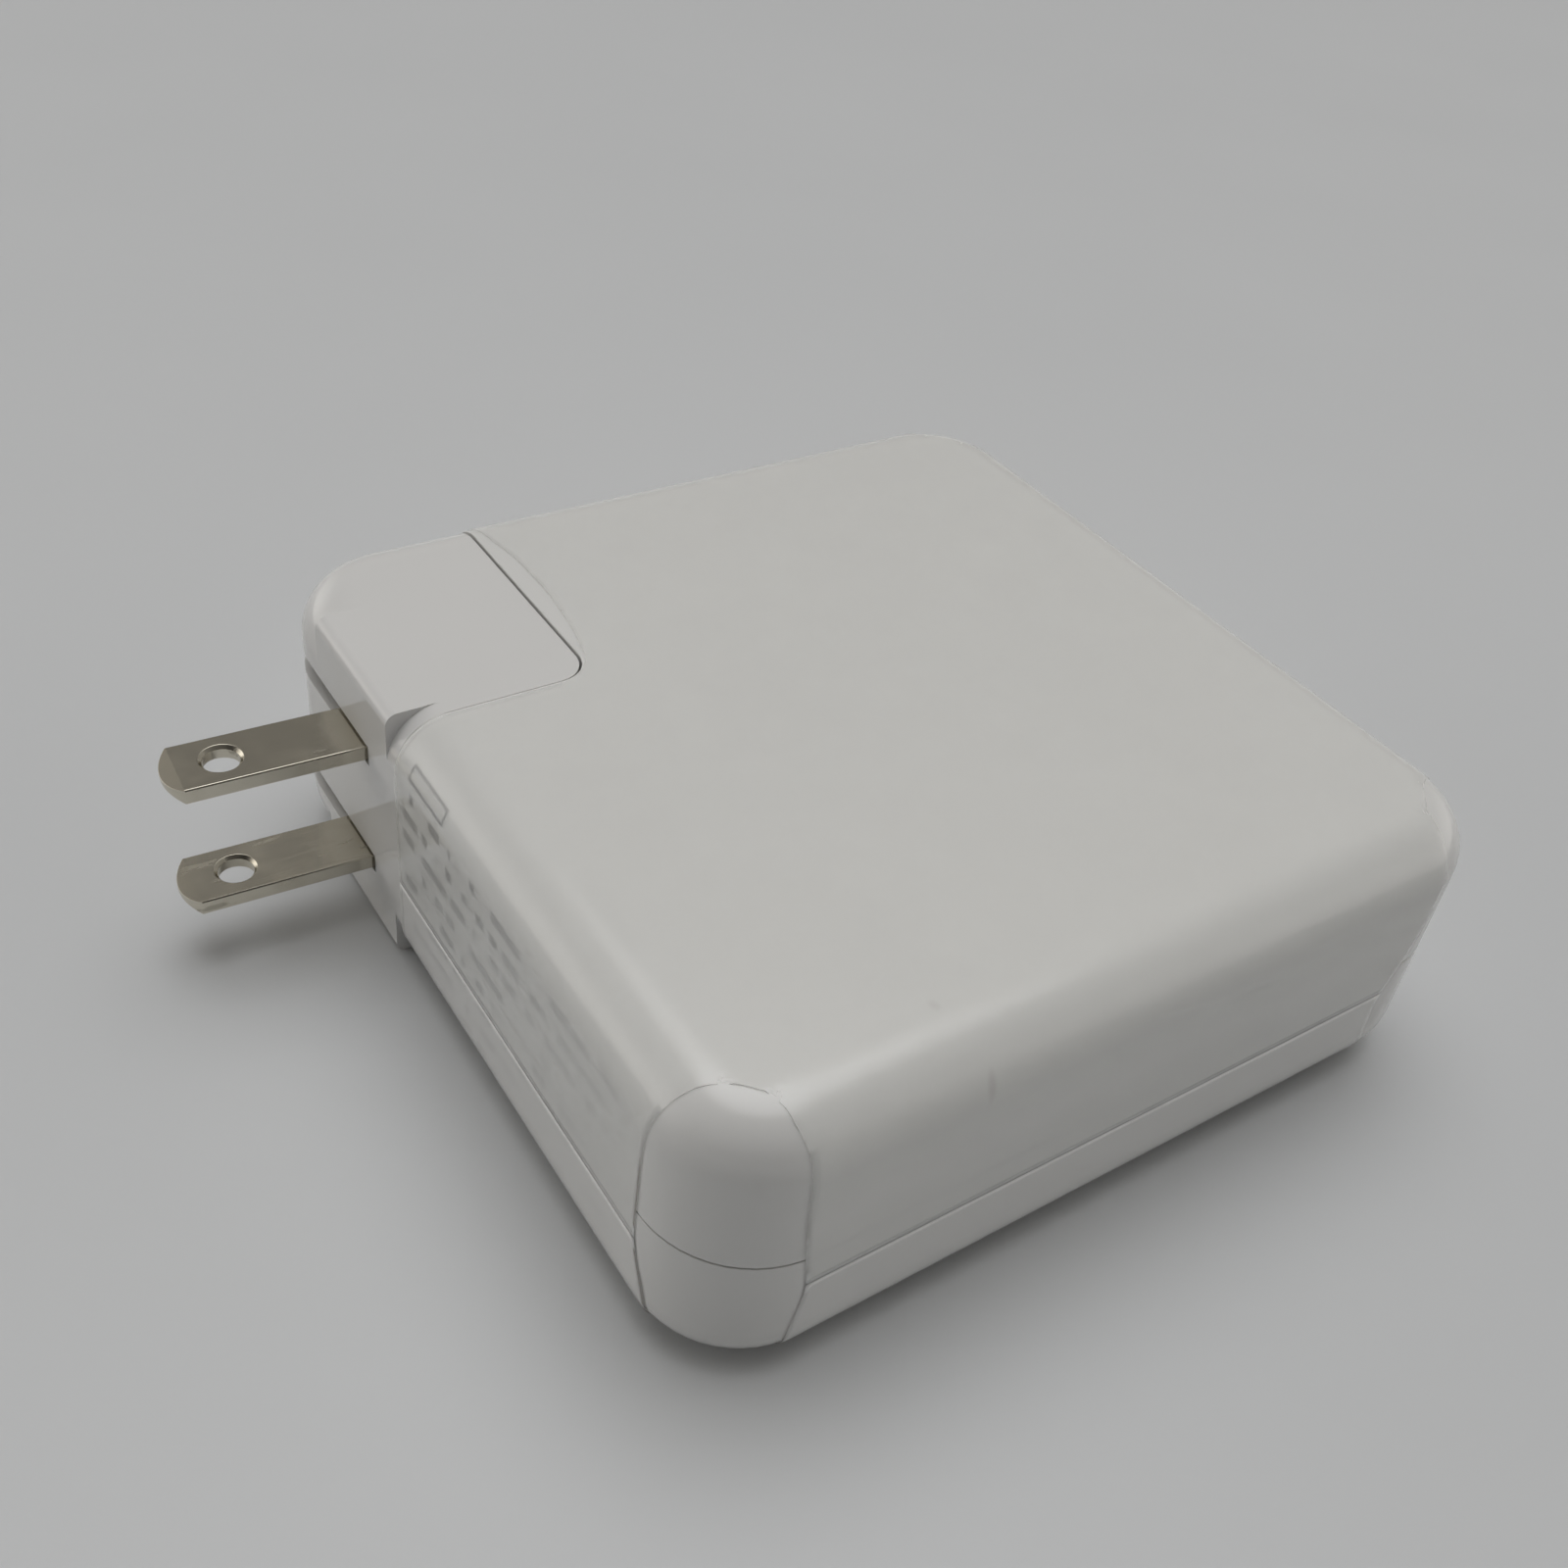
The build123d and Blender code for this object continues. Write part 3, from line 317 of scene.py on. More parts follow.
def fold(distance, radius):
    """Carries a distance along the sheet over the case's edge.

    Up to the flat's end it stays level. Round the edge the reach is flat + r sin a and the drop is
    r (1 - cos a). Below that it hangs straight. Returns the reach, the drop and the two parts of the outward
    direction.
    """
    flat = HALF - radius
    angle = np.clip((np.abs(distance) - flat) / radius, 0, np.pi / 2)
    hang = np.maximum(np.abs(distance) - flat - radius * np.pi / 2, 0)
    reach = np.minimum(np.abs(distance), flat) + radius * np.sin(angle)
    drop = radius * (1 - np.cos(angle)) + hang
    side = np.sign(distance)
    return side * reach, drop, side * np.sin(angle), np.cos(angle)


def unfold(drop, radius):
    """The distance along the sheet at which it has come down by drop: the inverse of fold."""
    angle = np.arccos(np.clip(1 - drop / radius, 0, 1))
    return HALF - radius + radius * angle + np.maximum(drop - radius, 0)


def grid_lines(stops):
    """Lines through every stop, with even steps of at most one cell between them."""
    counts = [max(2, int(np.ceil((b - a) / CELL)) + 1) for a, b in zip(stops, stops[1:])]
    spans = [np.linspace(a, b, count)[:-1] for a, b, count in zip(stops, stops[1:], counts)]
    return np.concatenate([*spans, [stops[-1]]])


def ripple(s, t, seed):
    """Slow unevenness of a tight sheet: a sum of five sine waves with seeded directions and phases."""
    rng = np.random.default_rng(seed)
    angle, phase = rng.uniform(0, np.pi, 5), rng.uniform(0, 2 * np.pi, 5)
    length = np.array([41.0, 29.0, 19.0, 12.0, 8.0])
    across = s[..., None] * np.cos(angle) + t[..., None] * np.sin(angle)
    waves = np.sin(2 * np.pi * across / length + phase) * length / length.sum()
    return waves.sum(-1)


def edge_shift(height, places, shifts):
    """How far a hand-cut edge strays at a height: a smooth curve through a few chosen shifts."""
    fine = np.linspace(places[0], places[-1], 200)
    curve = np.interp(fine, places, shifts)
    kernel = np.hanning(41) / np.hanning(41).sum()
    curve = np.convolve(np.pad(curve, 20, mode="edge"), kernel, "valid")
    return np.interp(height, fine, curve)


def cut_sheet(name, s, t, keep, radius, up, seed):
    """Folds a flat grid round the case and keeps some of its cells.

    s and t are the distances along the sheet at each crossing and keep says which cells are film. The sheet
    stands off by its rest gap, a slow ripple, and a lift that fades within a millimetre of a cut edge.
    """
    x, drop_x, side_x, level_x = fold(s, radius)
    y, drop_y, side_y, level_y = fold(t, radius)
    z = (THICK if up > 0 else 0) - up * (drop_x + drop_y)
    base = np.stack([x, y, z], -1)
    out = np.stack([side_x, side_y, up * level_x * level_y], -1)
    out /= np.linalg.norm(out, axis=-1, keepdims=True)
    past = np.clip(np.minimum(np.abs(s), np.abs(t)) - (HALF - CORNER_R), 0, CORNER_R)
    past = past * (level_x * level_y < 0.999)
    base -= out * (FOLLOW * (CORNER_R - np.sqrt(CORNER_R ** 2 - past ** 2)))[..., None]
    rows, cols = s.shape
    i, j = np.nonzero(keep)
    corner = i * cols + j
    quads = np.stack([corner, corner + cols, corner + cols + 1, corner + 1], -1)
    used = np.unique(quads)
    points, directions = base.reshape(-1, 3)[used], out.reshape(-1, 3)[used]
    quads = np.searchsorted(used, quads if up > 0 else quads[:, ::-1])
    sides = np.sort(np.concatenate([quads[:, [k, (k + 1) % 4]] for k in range(4)]), axis=1)
    pairs, count = np.unique(sides, axis=0, return_counts=True)
    rim = points[np.unique(pairs[count == 1])]
    away = np.sqrt(((points[:, None] - rim[None]) ** 2).sum(-1).min(1))
    waves = ripple(s.reshape(-1)[used], t.reshape(-1)[used], seed)
    lift = FILM_REST + FILM_RIPPLE * (1 + waves) / 2 + FILM_LIFT * np.exp(-(away / LIFT_REACH) ** 2)
    points = points + directions * lift[:, None]
    mesh = bpy.data.meshes.new(name)
    mesh.from_pydata((points * MM).tolist(), [], quads.tolist())
    mesh.attributes.new("rim", "FLOAT", "POINT").data.foreach_set("value", np.exp(-away / RIM_REACH))
    mesh.polygons.foreach_set("use_smooth", np.ones(len(mesh.polygons), bool))
    piece = link(name, mesh)
    wall = piece.modifiers.new("thickness", "SOLIDIFY")
    wall.thickness = FILM_T * MM
    wall.offset = 1
    wall.material_offset = 1
    wall.material_offset_rim = 1
    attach(piece, "brick")
    print(name, len(quads), "cells")
    return piece


# %% [markdown]
# ## The two layers of film
# The upper sheet is a cross, cut back at the bare corners. Its grid has lines exactly at the cuts, so the
# edges are clean, and one small formula rounds what a straight grid cannot: it bends a square of cells until
# its outer side is a quarter arc, at each bare corner and at the turn of the notch.

# %% Cut and fold the film
def round_corner(s, t, corner, way, r):
    """Fills one concave corner of the sheet with a patch that ends in a quarter arc.

    (u, v) is the place in the patch, 0 to 1 away from the corner. It is a Coons patch between the sheet's two
    edges and two halves of the arc: u moves to u (1 - sin a v) + v (1 - cos a u) - m u v, with a an eighth of
    a turn and m = 1 - sqrt(1/2), and v moves by the same formula with u and v exchanged.
    """
    u = (s - corner[0]) * way[0] / r
    v = (t - corner[1]) * way[1] / r
    inside = (u > 0) & (v > 0) & (u < 1 + 1e-6) & (v < 1 + 1e-6)
    a = np.pi / 4
    m = 1 - np.sqrt(0.5)
    new_u = u * (1 - np.sin(a * v)) + v * (1 - np.cos(a * u)) - m * u * v
    new_v = v * (1 - np.sin(a * u)) + u * (1 - np.cos(a * v)) - m * u * v
    new_s = corner[0] + way[0] * r * new_u
    new_t = corner[1] + way[1] * r * new_v
    return np.where(inside, new_s, s), np.where(inside, new_t, t)


def stray(s, t, radius, up):
    """Lets the flaps' side edges and the edge behind the plug wander, each by its own few shifts.

    A shift is whole at its edge and fades out within the sheet.
    """
    flat = HALF - radius
    moved = []
    for a, b, low_shifts, high_shifts in ((s, t, FRONT_LEFT, FRONT_RIGHT), (t, s, SIDE_FRONT, SIDE_BACK)):
        drop = fold(b, radius)[1]
        height = THICK - drop if up > 0 else drop
        fade = np.clip((np.abs(b) - flat) / 3, 0, 1) * (b < 0)
        low_share = np.clip(1 - (CUT_HALF + a) / FLAP_FADE, 0, 1) ** 2
        high_share = np.clip(1 - (CUT_HALF - a) / FLAP_FADE, 0, 1) ** 2
        low = edge_shift(height, HEIGHTS, low_shifts) * low_share
        high = edge_shift(height, HEIGHTS, high_shifts) * high_share
        near = np.clip(1 - (np.abs(a) - CUT_HALF) / EAR, 0, 1)
        moved.append(a + (low + high) * fade * near)
    beside = edge_shift(t, NOTCH_PLACES, NOTCH_SHIFTS) * np.clip(1 - (s - FILM_A) / NOTCH_FADE, 0, 1)
    moved[0] = moved[0] + beside * (t > FILM_B + FILM_TURN) * (s >= FILM_A - 1e-6) * (up > 0)
    return moved


HEIGHTS = (2.0, 5.0, 10.0, 12.0, 16.0, 21.0, 26.0)
FRONT_LEFT = (-0.4, -0.8, 0.3, 0.1, -0.5, -0.8, -0.9)
FRONT_RIGHT = (-1.2, -1.4, -1.9, -1.3, 0.2, 1.2, 0.6)
SIDE_FRONT = (-0.6, -1.3, 0.5, 0.7, 0.6, 0.5, -0.2)
SIDE_BACK = (0.0,) * len(HEIGHTS)
NOTCH_PLACES = (15.0, 18.0, 24.0, 31.0, 35.0, 38.0)
NOTCH_SHIFTS = (0.0, 0.7, 1.35, 1.2, 0.4, 0.0)


def upper_sheet():
    """The cross-shaped sheet over the top."""
    end = unfold(THICK - SPLIT_Z, TOP_R)
    window = unfold(THICK - WINDOW_Z, TOP_R)
    ear = CUT_HALF + EAR
    s_stops = [-end, -ear, -CUT_HALF, FILM_A - FILM_TURN, FILM_A, CUT_HALF, ear, window, end]
    t_stops = [-end, -ear, -CUT_HALF, -WINDOW_Y, WINDOW_Y, FILM_B, FILM_B + FILM_TURN, CUT_HALF, ear, end]
    s, t = np.meshgrid(grid_lines(s_stops), grid_lines(t_stops), indexing="ij")
    mid_s = (s[:-1, :-1] + s[1:, 1:]) / 2
    mid_t = (t[:-1, :-1] + t[1:, 1:]) / 2
    flaps = (np.abs(mid_s) < CUT_HALF) | (np.abs(mid_t) < CUT_HALF)
    panel = (np.abs(mid_s) < ear) & (np.abs(mid_t) < ear)
    notch = (mid_s < FILM_A) & (mid_t > FILM_B)
    turn = (mid_s > FILM_A - FILM_TURN) & (mid_t < FILM_B + FILM_TURN)
    hole = (mid_s > window) & (np.abs(mid_t) < WINDOW_Y)
    keep = (flaps | panel) & (~notch | turn) & ~hole
    for way in ((-1, -1), (1, -1), (1, 1)):
        s, t = round_corner(s, t, (way[0] * CUT_HALF, way[1] * CUT_HALF), way, EAR)
    s, t = round_corner(s, t, (FILM_A, FILM_B), (-1, 1), FILM_TURN)
    s, t = stray(s, t, TOP_R, 1)
    return cut_sheet("upper_film_sheet", s, t, keep, TOP_R, 1, 3)


def lower_flaps():
    """The flaps that come up from below, one on each side."""
    start = unfold(FOOT_Z, BOTTOM_R)
    end = unfold(SPLIT_Z - LAP, BOTTOM_R)
    stops = [-end, -start, -CUT_HALF, FILM_A, CUT_HALF, start, end]
    other = [-end, -start, -CUT_HALF, FILM_B, CUT_HALF, start, end]
    s, t = np.meshgrid(grid_lines(stops), grid_lines(other), indexing="ij")
    mid_s = (s[:-1, :-1] + s[1:, 1:]) / 2
    mid_t = (t[:-1, :-1] + t[1:, 1:]) / 2
    along_y = (np.abs(mid_s) > start) & (np.abs(mid_t) < CUT_HALF)
    along_x = (np.abs(mid_t) > start) & (np.abs(mid_s) < CUT_HALF)
    notch = (mid_s < FILM_A) & (mid_t > FILM_B)
    s, t = stray(s, t, BOTTOM_R, -1)
    return cut_sheet("lower_film_flaps", s, t, (along_x | along_y) & ~notch, BOTTOM_R, -1, 5)


upper_film = upper_sheet()
lower_film = lower_flaps()
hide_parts("upper_film")
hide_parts("lower_film")

# %% [markdown]
# ## Plug, blades and other hard parts
# The frame's plug, blades and connector already have the right shape, with slots, groove and bores. What they
# lack is the fine break that a mould or a press leaves on every edge, and it is that break that catches the
# light. So a copy of each is welded, its flat faces joined, and a narrow bevel runs along the sharp edges.

# %% Break the edges of the hard parts
def broken_edges(node, body, width, segments=3, angle=25):
    """A welded copy of a frame part with a narrow bevel, in millimetres, on every sharp edge."""
    mesh = nodes[node].data.copy()
    mesh.name = node + "_finished"
    form = bmesh.new()
    form.from_mesh(mesh)
    bmesh.ops.remove_doubles(form, verts=form.verts, dist=0.002 * MM)
    bmesh.ops.dissolve_limit(form, angle_limit=math.radians(0.4), verts=form.verts, edges=form.edges)
    form.to_mesh(mesh)
    form.free()
    if mesh.has_custom_normals:
        mesh.attributes.remove(mesh.attributes["custom_normal"])
    piece = link(node + "_finished", mesh)
    bevel = piece.modifiers.new("broken edge", "BEVEL")
    bevel.width = width * MM
    bevel.segments = segments
    bevel.limit_method = "ANGLE"
    bevel.angle_limit = math.radians(angle)
    bevel.harden_normals = True
    bevel.miter_outer = "MITER_ARC"
    mesh.polygons.foreach_set("use_smooth", np.ones(len(mesh.polygons), bool))
    weighted = piece.modifiers.new("flat faces stay flat", "WEIGHTED_NORMAL")
    weighted.weight = 100
    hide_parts(node)
    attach(piece, body)
    print(piece.name, len(mesh.polygons), "faces before the bevel")
    return piece


plug = broken_edges("plug_housing", "plug", 0.12)
rear_cover = broken_edges("rear_cover", "plug", 0.12)
blades = [broken_edges(side + "_blade", "blades", 0.17, 4, 20) for side in ("lower", "upper")]
carrier = broken_edges("blade_carrier", "blades", 0.08)
inlet = broken_edges("inlet_socket", "brick", 0.15)
stud = broken_edges("lock_stud", "brick", 0.08)
port = broken_edges("port_shell", "brick", 0.06)
tongue = broken_edges("port_tongue", "brick", 0.08)

# %% [markdown]
# ## Writing a finish as arithmetic
# A finish is a small graph of nodes. Drawn by hand it soon becomes a web, so here a socket is wrapped in
# a class that understands + - * /, and each operator adds its own Math node. The pattern then reads like the
# formula that it is.

# %% Wires and finishes
def operator(operation, swap=False):
    """A Python operator that adds one Math node."""
    return lambda wire, other: wire.math(operation, other, swap)


class Wire:
    """One output of a node, used like a number."""

    def __init__(self, finish, socket):
        self.finish = finish
        self.socket = socket

    def math(self, operation, other=0.0, swap=False):
        first, second = (other, self) if swap else (self, other)
        return self.finish.node("Math", {"operation": operation}, {0: first, 1: second})

    __add__ = operator("ADD")
    __radd__ = operator("ADD")
    __sub__ = operator("SUBTRACT")
    __rsub__ = operator("SUBTRACT", True)
    __mul__ = operator("MULTIPLY")
    __rmul__ = operator("MULTIPLY")
    __truediv__ = operator("DIVIDE")
    __rtruediv__ = operator("DIVIDE", True)
    __pow__ = operator("POWER")
    most = operator("MAXIMUM")

    def size(self):
        """Its absolute value."""
        return self.math("ABSOLUTE")

    def step(self, low, high):
        """A smooth ramp from 0 at low to 1 at high; low may be the larger."""
        inputs = {"Value": self, "From Min": low, "From Max": high}
        return self.finish.node("MapRange", {"interpolation_type": "SMOOTHSTEP"}, inputs)


class Finish:
    """A material on one Principled shader: constants on its sockets, and wires only where they may vary."""

    def __init__(self, name, **constants):
        self.material = bpy.data.materials.new(name)
        self.material.use_nodes = True
        self.tree = self.material.node_tree
        self.shader = self.tree.nodes["Principled BSDF"]
        self.set(**constants)

    def set(self, **values):
        """Sets or wires the shader's sockets, named with underscores for spaces."""
        for key, value in values.items():
            self.join(self.shader.inputs[key.replace("_", " ")], value)
        return self

    def join(self, socket, value):
        """Links a wire to a socket, or writes a number or colour into it."""
        if isinstance(value, Wire):
            self.tree.links.new(value.socket, socket)
        elif socket.type == "RGBA" and len(value) == 3:
            socket.default_value = (*value, 1)
        else:
            socket.default_value = value

    def node(self, kind, settings=None, inputs=None, output=0):
        """Adds a node: its settings first, then its sockets. Returns one output as a wire."""
        made = self.tree.nodes.new("ShaderNode" + kind)
        for key, value in (settings or {}).items():
            setattr(made, key, value)
        for key, value in (inputs or {}).items():
            self.join(made.inputs[key], value)
        return Wire(self, made.outputs[output])

    def place(self):
        """The point on the object, in metres."""
        return self.node("TexCoord", output="Object")

    def xyz(self):
        """The point's three coordinates in millimetres."""
        return [self.node("SeparateXYZ", None, {0: self.place()}, k) / MM for k in range(3)]

    def noise(self, size, detail=2.0, stretch=(1, 1, 1)):
        """Soft noise with features of about size millimetres, 0 to 1, drawn out along an axis by stretch."""
        scale = {"Scale": tuple(1 / k for k in stretch)}
        point = self.node("Mapping", None, {"Vector": self.place(), **scale})
        return self.node("TexNoise", None, {"Vector": point, "Scale": 1 / (size * MM), "Detail": detail})

    def cells(self, size):
        """Distance to scattered points about size millimetres apart, as a share of that size."""
        inputs = {"Vector": self.place(), "Scale": 1 / (size * MM)}
        return self.node("TexVoronoi", {"feature": "F1"}, inputs, "Distance")

    def blend(self, factor, first, second):
        """Mixes two colours."""
        return self.node("Mix", {"data_type": "RGBA"}, {0: factor, 6: first, 7: second}, 2)

    def mark(self, centre, size):
        """1 in the middle of an ellipsoid and 0 outside it, a smooth step of |(p - centre) / size|."""
        far = [((p - c) / k) ** 2.0 for p, c, k in zip(self.xyz(), centre, size)]
        return ((far[0] + far[1] + far[2]) ** 0.5).step(1.0, 0.2)

    def relief(self, height, depth):
        """A bump from a height of 0 to 1, where 1 stands depth millimetres proud."""
        return self.node("Bump", None, {"Height": height, "Distance": depth * MM, "Strength": 1.0})


# %% [markdown]
# ## White plastic
# The case is glossy moulded plastic, a warm white. A flat white reads as plaster, so three faint things are
# added: the slow ripple that a mould leaves in a gloss face, a drift in its gloss, and a few specks of dust.
# The rating print on one side is replaced by plain grey bars with no lettering.

# %% White plastic
def white_plastic(name, colour, seed_size):
    """Gloss moulding: colour and gloss drift by a few percent, and a few specks of dust lie on it."""
    finish = Finish(name, IOR=1.5)
    drift = finish.noise(seed_size, 2)
    speck = finish.cells(5.5).step(0.035, 0.02) * finish.noise(9, 1).step(0.52, 0.6)
    pale = tuple(min(1, c * 1.02) for c in colour)
    tone = finish.blend(drift, pale, tuple(c * 0.97 for c in colour))
    tone = finish.blend(speck * 0.35, tone, (0.22, 0.2, 0.17))
    finish.set(Base_Color=tone, Roughness=0.03 + drift * 0.04)
    finish.set(Normal=finish.relief(finish.noise(4.5, 1), 0.004))
    finish.tone = tone
    return finish


def rating_print(finish):
    """Rows of plain grey bars on the -X side: bars where a stretched noise is high, within each row.

    The bars fade toward one end, and a plain outlined box stands above them.
    """
    x, y, z = finish.xyz()
    row_foot, row_pitch = 1.4, 2.5
    box_y, box_z, box_half_y, box_half_z = 5.4, 24.9, 3.2, 0.62
    rows = (z - row_foot) / row_pitch
    within = (rows.math("FRACT") - 0.5).size().step(0.27, 0.17)
    along = finish.node("CombineXYZ", None, {0: y * 0.42, 1: rows.math("FLOOR") * 3.7, 2: 0.0})
    inputs = {"Vector": along, "Scale": 1.0, "Detail": 1.0}
    words = finish.node("TexNoise", {"noise_dimensions": "2D"}, inputs)
    bars = words.step(0.46, 0.52) * within
    area = z.step(4.0, 5.0) * z.step(24.2, 23.6) * y.step(-29.0, -26.0) * y.step(10.0, 9.4)
    fading = y.step(-26.0, 6.0) * 0.75 + 0.25
    off_y = (y - box_y).size() - box_half_y
    off_z = (z - box_z).size() - box_half_z
    box = off_y.most(off_z).size().step(0.2, 0.06)
    ink = (bars * area * fading).most(box) * x.step(-39.0, -39.4)
    finish.set(Base_Color=finish.blend(ink, finish.tone, (0.03, 0.032, 0.035)))
    return finish


case_finish = rating_print(white_plastic("case_white", (0.79, 0.784, 0.768), 26))
plug_finish = white_plastic("plug_white", (0.78, 0.773, 0.76), 19)
print("white plastic:", case_finish.material.name, plug_finish.material.name)

# %% [markdown]
# ## Clear film
# Film that thin bends no light that one could see. What shows is a little haze, a soft reflection, and
# a pale line where the two layers meet. A plain shader with a part alpha gives the haze over the real plastic
# below. Where the film hangs down the sides the haze is raised, a painted sheen that lightens them, and the
# pale line is a painted highlight along the crease, found by the sheet's own distance from the rim. Only the
# outer face has the haze: two hazy faces would dim the plastic twice.

# %% Clear film
SIDE_SHEEN_HAZE = 0.14                        # added to the haze where the film hangs, a painted sheen that lightens the sides
CREASE_HIGHLIGHT_HAZE = 0.25                      # and along the line where the layers meet, a painted highlight


def film_finish(name, haze, colour):
    """Haze as alpha, stronger where the film hangs down the sides as a painted sheen, and whitened along the
    crease as a painted highlight.

    The alpha thins the reflection as well, so the specular level is raised to make up for it.
    """
    finish = Finish(name, IOR=1.5, Specular_IOR_Level=1.0)
    x, y, z = finish.xyz()
    rim = finish.node("Attribute", {"attribute_name": "rim"}, None, "Fac")          # 1 at a cut edge
    cloud = finish.noise(11, 3).step(0.35, 0.7)
    # painted sheen: more haze on the hanging sides makes them read lighter
    hanging_sheen = z.step(24.0, 17.0)
    # painted highlight: a pale, denser line along the crease where the layers meet
    crease_highlight = rim.step(0.3, 0.75) * z.step(12.6, 11.9) * z.step(9.6, 10.2)
    grime = rim.step(0.45, 1.0) * finish.noise(4, 3).step(0.52, 0.7)
    # painted shadow: a dark line along the film's front cut edge on the -X side, where the lifted edge shades
    # the plastic
    front_edge_shadow = rim.step(0.5, 0.9) * y.step(-29.0, -30.5) * x.step(-39.0, -40.0) * z.step(23.0, 18.0)
    smudge = finish.mark((-28.1, 11.2, 27.9), (1.3, 0.35, 0.4)) * 0.5
    speck = finish.mark((-20.2, 21.0, 27.9), (0.16, 0.14, 0.4)) * 0.7
    spot = finish.mark((-19.0, -34.5, 27.4), (0.7, 0.9, 1.0)) * 0.14
    streak = finish.mark((-17.5, -40.2, 24.2), (0.6, 1.2, 2.2)) * 0.2
    marks = smudge.most(speck).most(spot.most(streak))
    tone = finish.blend(marks, colour, (0.3, 0.25, 0.18))
    tone = finish.blend(grime * 0.35, tone, (0.4, 0.36, 0.3))
    # painted shadow along the front cut edge
    tone = finish.blend(front_edge_shadow * 0.75, tone, (0.28, 0.23, 0.18))
    # painted highlight: the crease is whitened
    tone = finish.blend(crease_highlight, tone, (1.0, 1.0, 0.99))
    finish.set(Base_Color=tone, Roughness=0.13 + cloud * 0.06)
    finish.set(Alpha=haze + hanging_sheen * SIDE_SHEEN_HAZE + cloud * 0.012 + crease_highlight * CREASE_HIGHLIGHT_HAZE)
    finish.set(Normal=finish.relief(finish.noise(9, 1), 0.006))
    return finish


sheet_finish = film_finish("clear_film_sheet", 0.42, (0.985, 0.985, 0.965))
# the lower flaps take a hazier, whiter copy of the film, a painted sheen that lightens the lower sides
flap_finish = film_finish("clear_film_flaps", 0.55, (1.0, 0.995, 0.98))
underside = Finish("clear_film_underside", IOR=1.5, Roughness=0.12)
underside.set(Base_Color=(0.97, 0.965, 0.95), Alpha=underside.noise(9, 1) * 0.05)
print("film:", sheet_finish.material.name, flap_finish.material.name, underside.material.name)

# %% [markdown]
# ## Metals
# The blades are brass under nickel plate, brushed along their length and scuffed by sockets. The colour stays
# warm and rather dark because a metal shows mostly what it reflects.

# %% Metals
def worked_metal(name, colour, stain, stretch, roughness, depth=0.003):
    """Metal with brushing drawn out along one axis, and stains that darken and dull it."""
    finish = Finish(name, Metallic=1.0)
    brush = finish.noise(0.22, 3, stretch)
    blotch = finish.noise(3.2, 3).step(0.4, 0.75)
    scuff = finish.noise(1.1, 6, (4, 1, 1)).step(0.62, 0.72)
    tone = finish.blend(blotch * 0.4, colour, stain)
    tone = finish.blend(scuff * 0.45, tone, tuple(c * 0.5 for c in stain))
    finish.set(Base_Color=tone, Roughness=roughness + brush * 0.08 + blotch * 0.06 + scuff * 0.14)
    finish.set(Normal=finish.relief(brush, depth))
    return finish


nickel = worked_metal("nickel_plate", (0.66, 0.62, 0.525), (0.5, 0.46, 0.37), (40, 1, 1), 0.16, 0.0015)
steel = worked_metal("bright_steel", (0.62, 0.62, 0.61), (0.5, 0.49, 0.47), (1, 12, 1), 0.24)
brass = worked_metal("contact_brass", (0.72, 0.52, 0.24), (0.5, 0.33, 0.14), (14, 1, 1), 0.3)
spreader = worked_metal("spreader_aluminium", (0.72, 0.72, 0.73), (0.58, 0.58, 0.6), (1, 30, 1), 0.34)
can = worked_metal("capacitor_aluminium", (0.74, 0.74, 0.75), (0.6, 0.6, 0.62), (1, 1, 12), 0.3)
print("metals:", [finish.material.name for finish in (nickel, steel, brass, spreader, can)])

# %% [markdown]
# ## Inside parts
# Nothing inside shows while the case is shut, but a part that is opened up should still look made. Each
# family gets the mark of how it was made: moulding grain, sintered grain, wound wire, solder mask over
# copper.

# %% Mouldings, wire, board and sleeves
def moulding(name, colour, roughness, size=0.5, depth=0.01, speckle=0.12):
    """Matt or satin moulding with a fine grain and a little colour drift."""
    finish = Finish(name)
    grain = finish.noise(size, 4)
    drift = finish.noise(size * 18, 2)
    finish.set(Base_Color=finish.blend(drift * speckle * 2, colour, tuple(c * 0.7 for c in colour)))
    finish.set(Roughness=roughness + grain * 0.15, Normal=finish.relief(grain, depth))
    return finish


def wound(name, colour, pitch, axis):
    """Enamelled wire: a round ridge for each turn, |sin| along the winding's axis, with painted shade between
    turns.
    """
    finish = Finish(name, Metallic=0.85, Coat_Weight=0.6)
    along = finish.xyz()[axis]
    ridge = (along * (math.pi / pitch)).math("SINE").size()
    # painted shade: the wire is darkened in the grooves between turns
    tone = finish.blend(ridge.step(0.1, 0.6), tuple(c * 0.25 for c in colour), colour)
    finish.set(Base_Color=tone, Roughness=0.28 + finish.noise(1.5) * 0.14, Normal=finish.relief(ridge, 0.2))
    return finish


def printed_board():
    """Green solder mask over tracks: the mask is paler where the copper lies, with tinned pads."""
    finish = Finish("solder_mask", Coat_Weight=0.4)
    track = (finish.noise(5, 0).math("FRACT") * 6).math("FRACT").step(0.35, 0.45)
    pad = finish.cells(2.6).step(0.16, 0.12)
    mask = finish.blend(track, (0.012, 0.13, 0.05), (0.03, 0.24, 0.09))
    finish.set(Base_Color=finish.blend(pad, mask, (0.66, 0.64, 0.6)), Metallic=pad, Roughness=0.3 + pad * 0.1)
    finish.set(Normal=finish.relief(track.most(pad), 0.04))
    return finish


def sleeve(name, colour, stripe, axis):
    """Shrink sleeve with one plain stripe along it."""
    finish = Finish(name, Coat_Weight=0.5)
    place = finish.xyz()
    band = (place[axis] - round(float(np.mean(box_mm("bulk_capacitor"), 0)[axis]), 1)).size().step(2.4, 2.2)
    finish.set(Base_Color=finish.blend(band, colour, stripe), Roughness=0.3 + finish.noise(2) * 0.1)
    finish.set(Normal=finish.relief(finish.noise(0.8, 3), 0.02))
    return finish


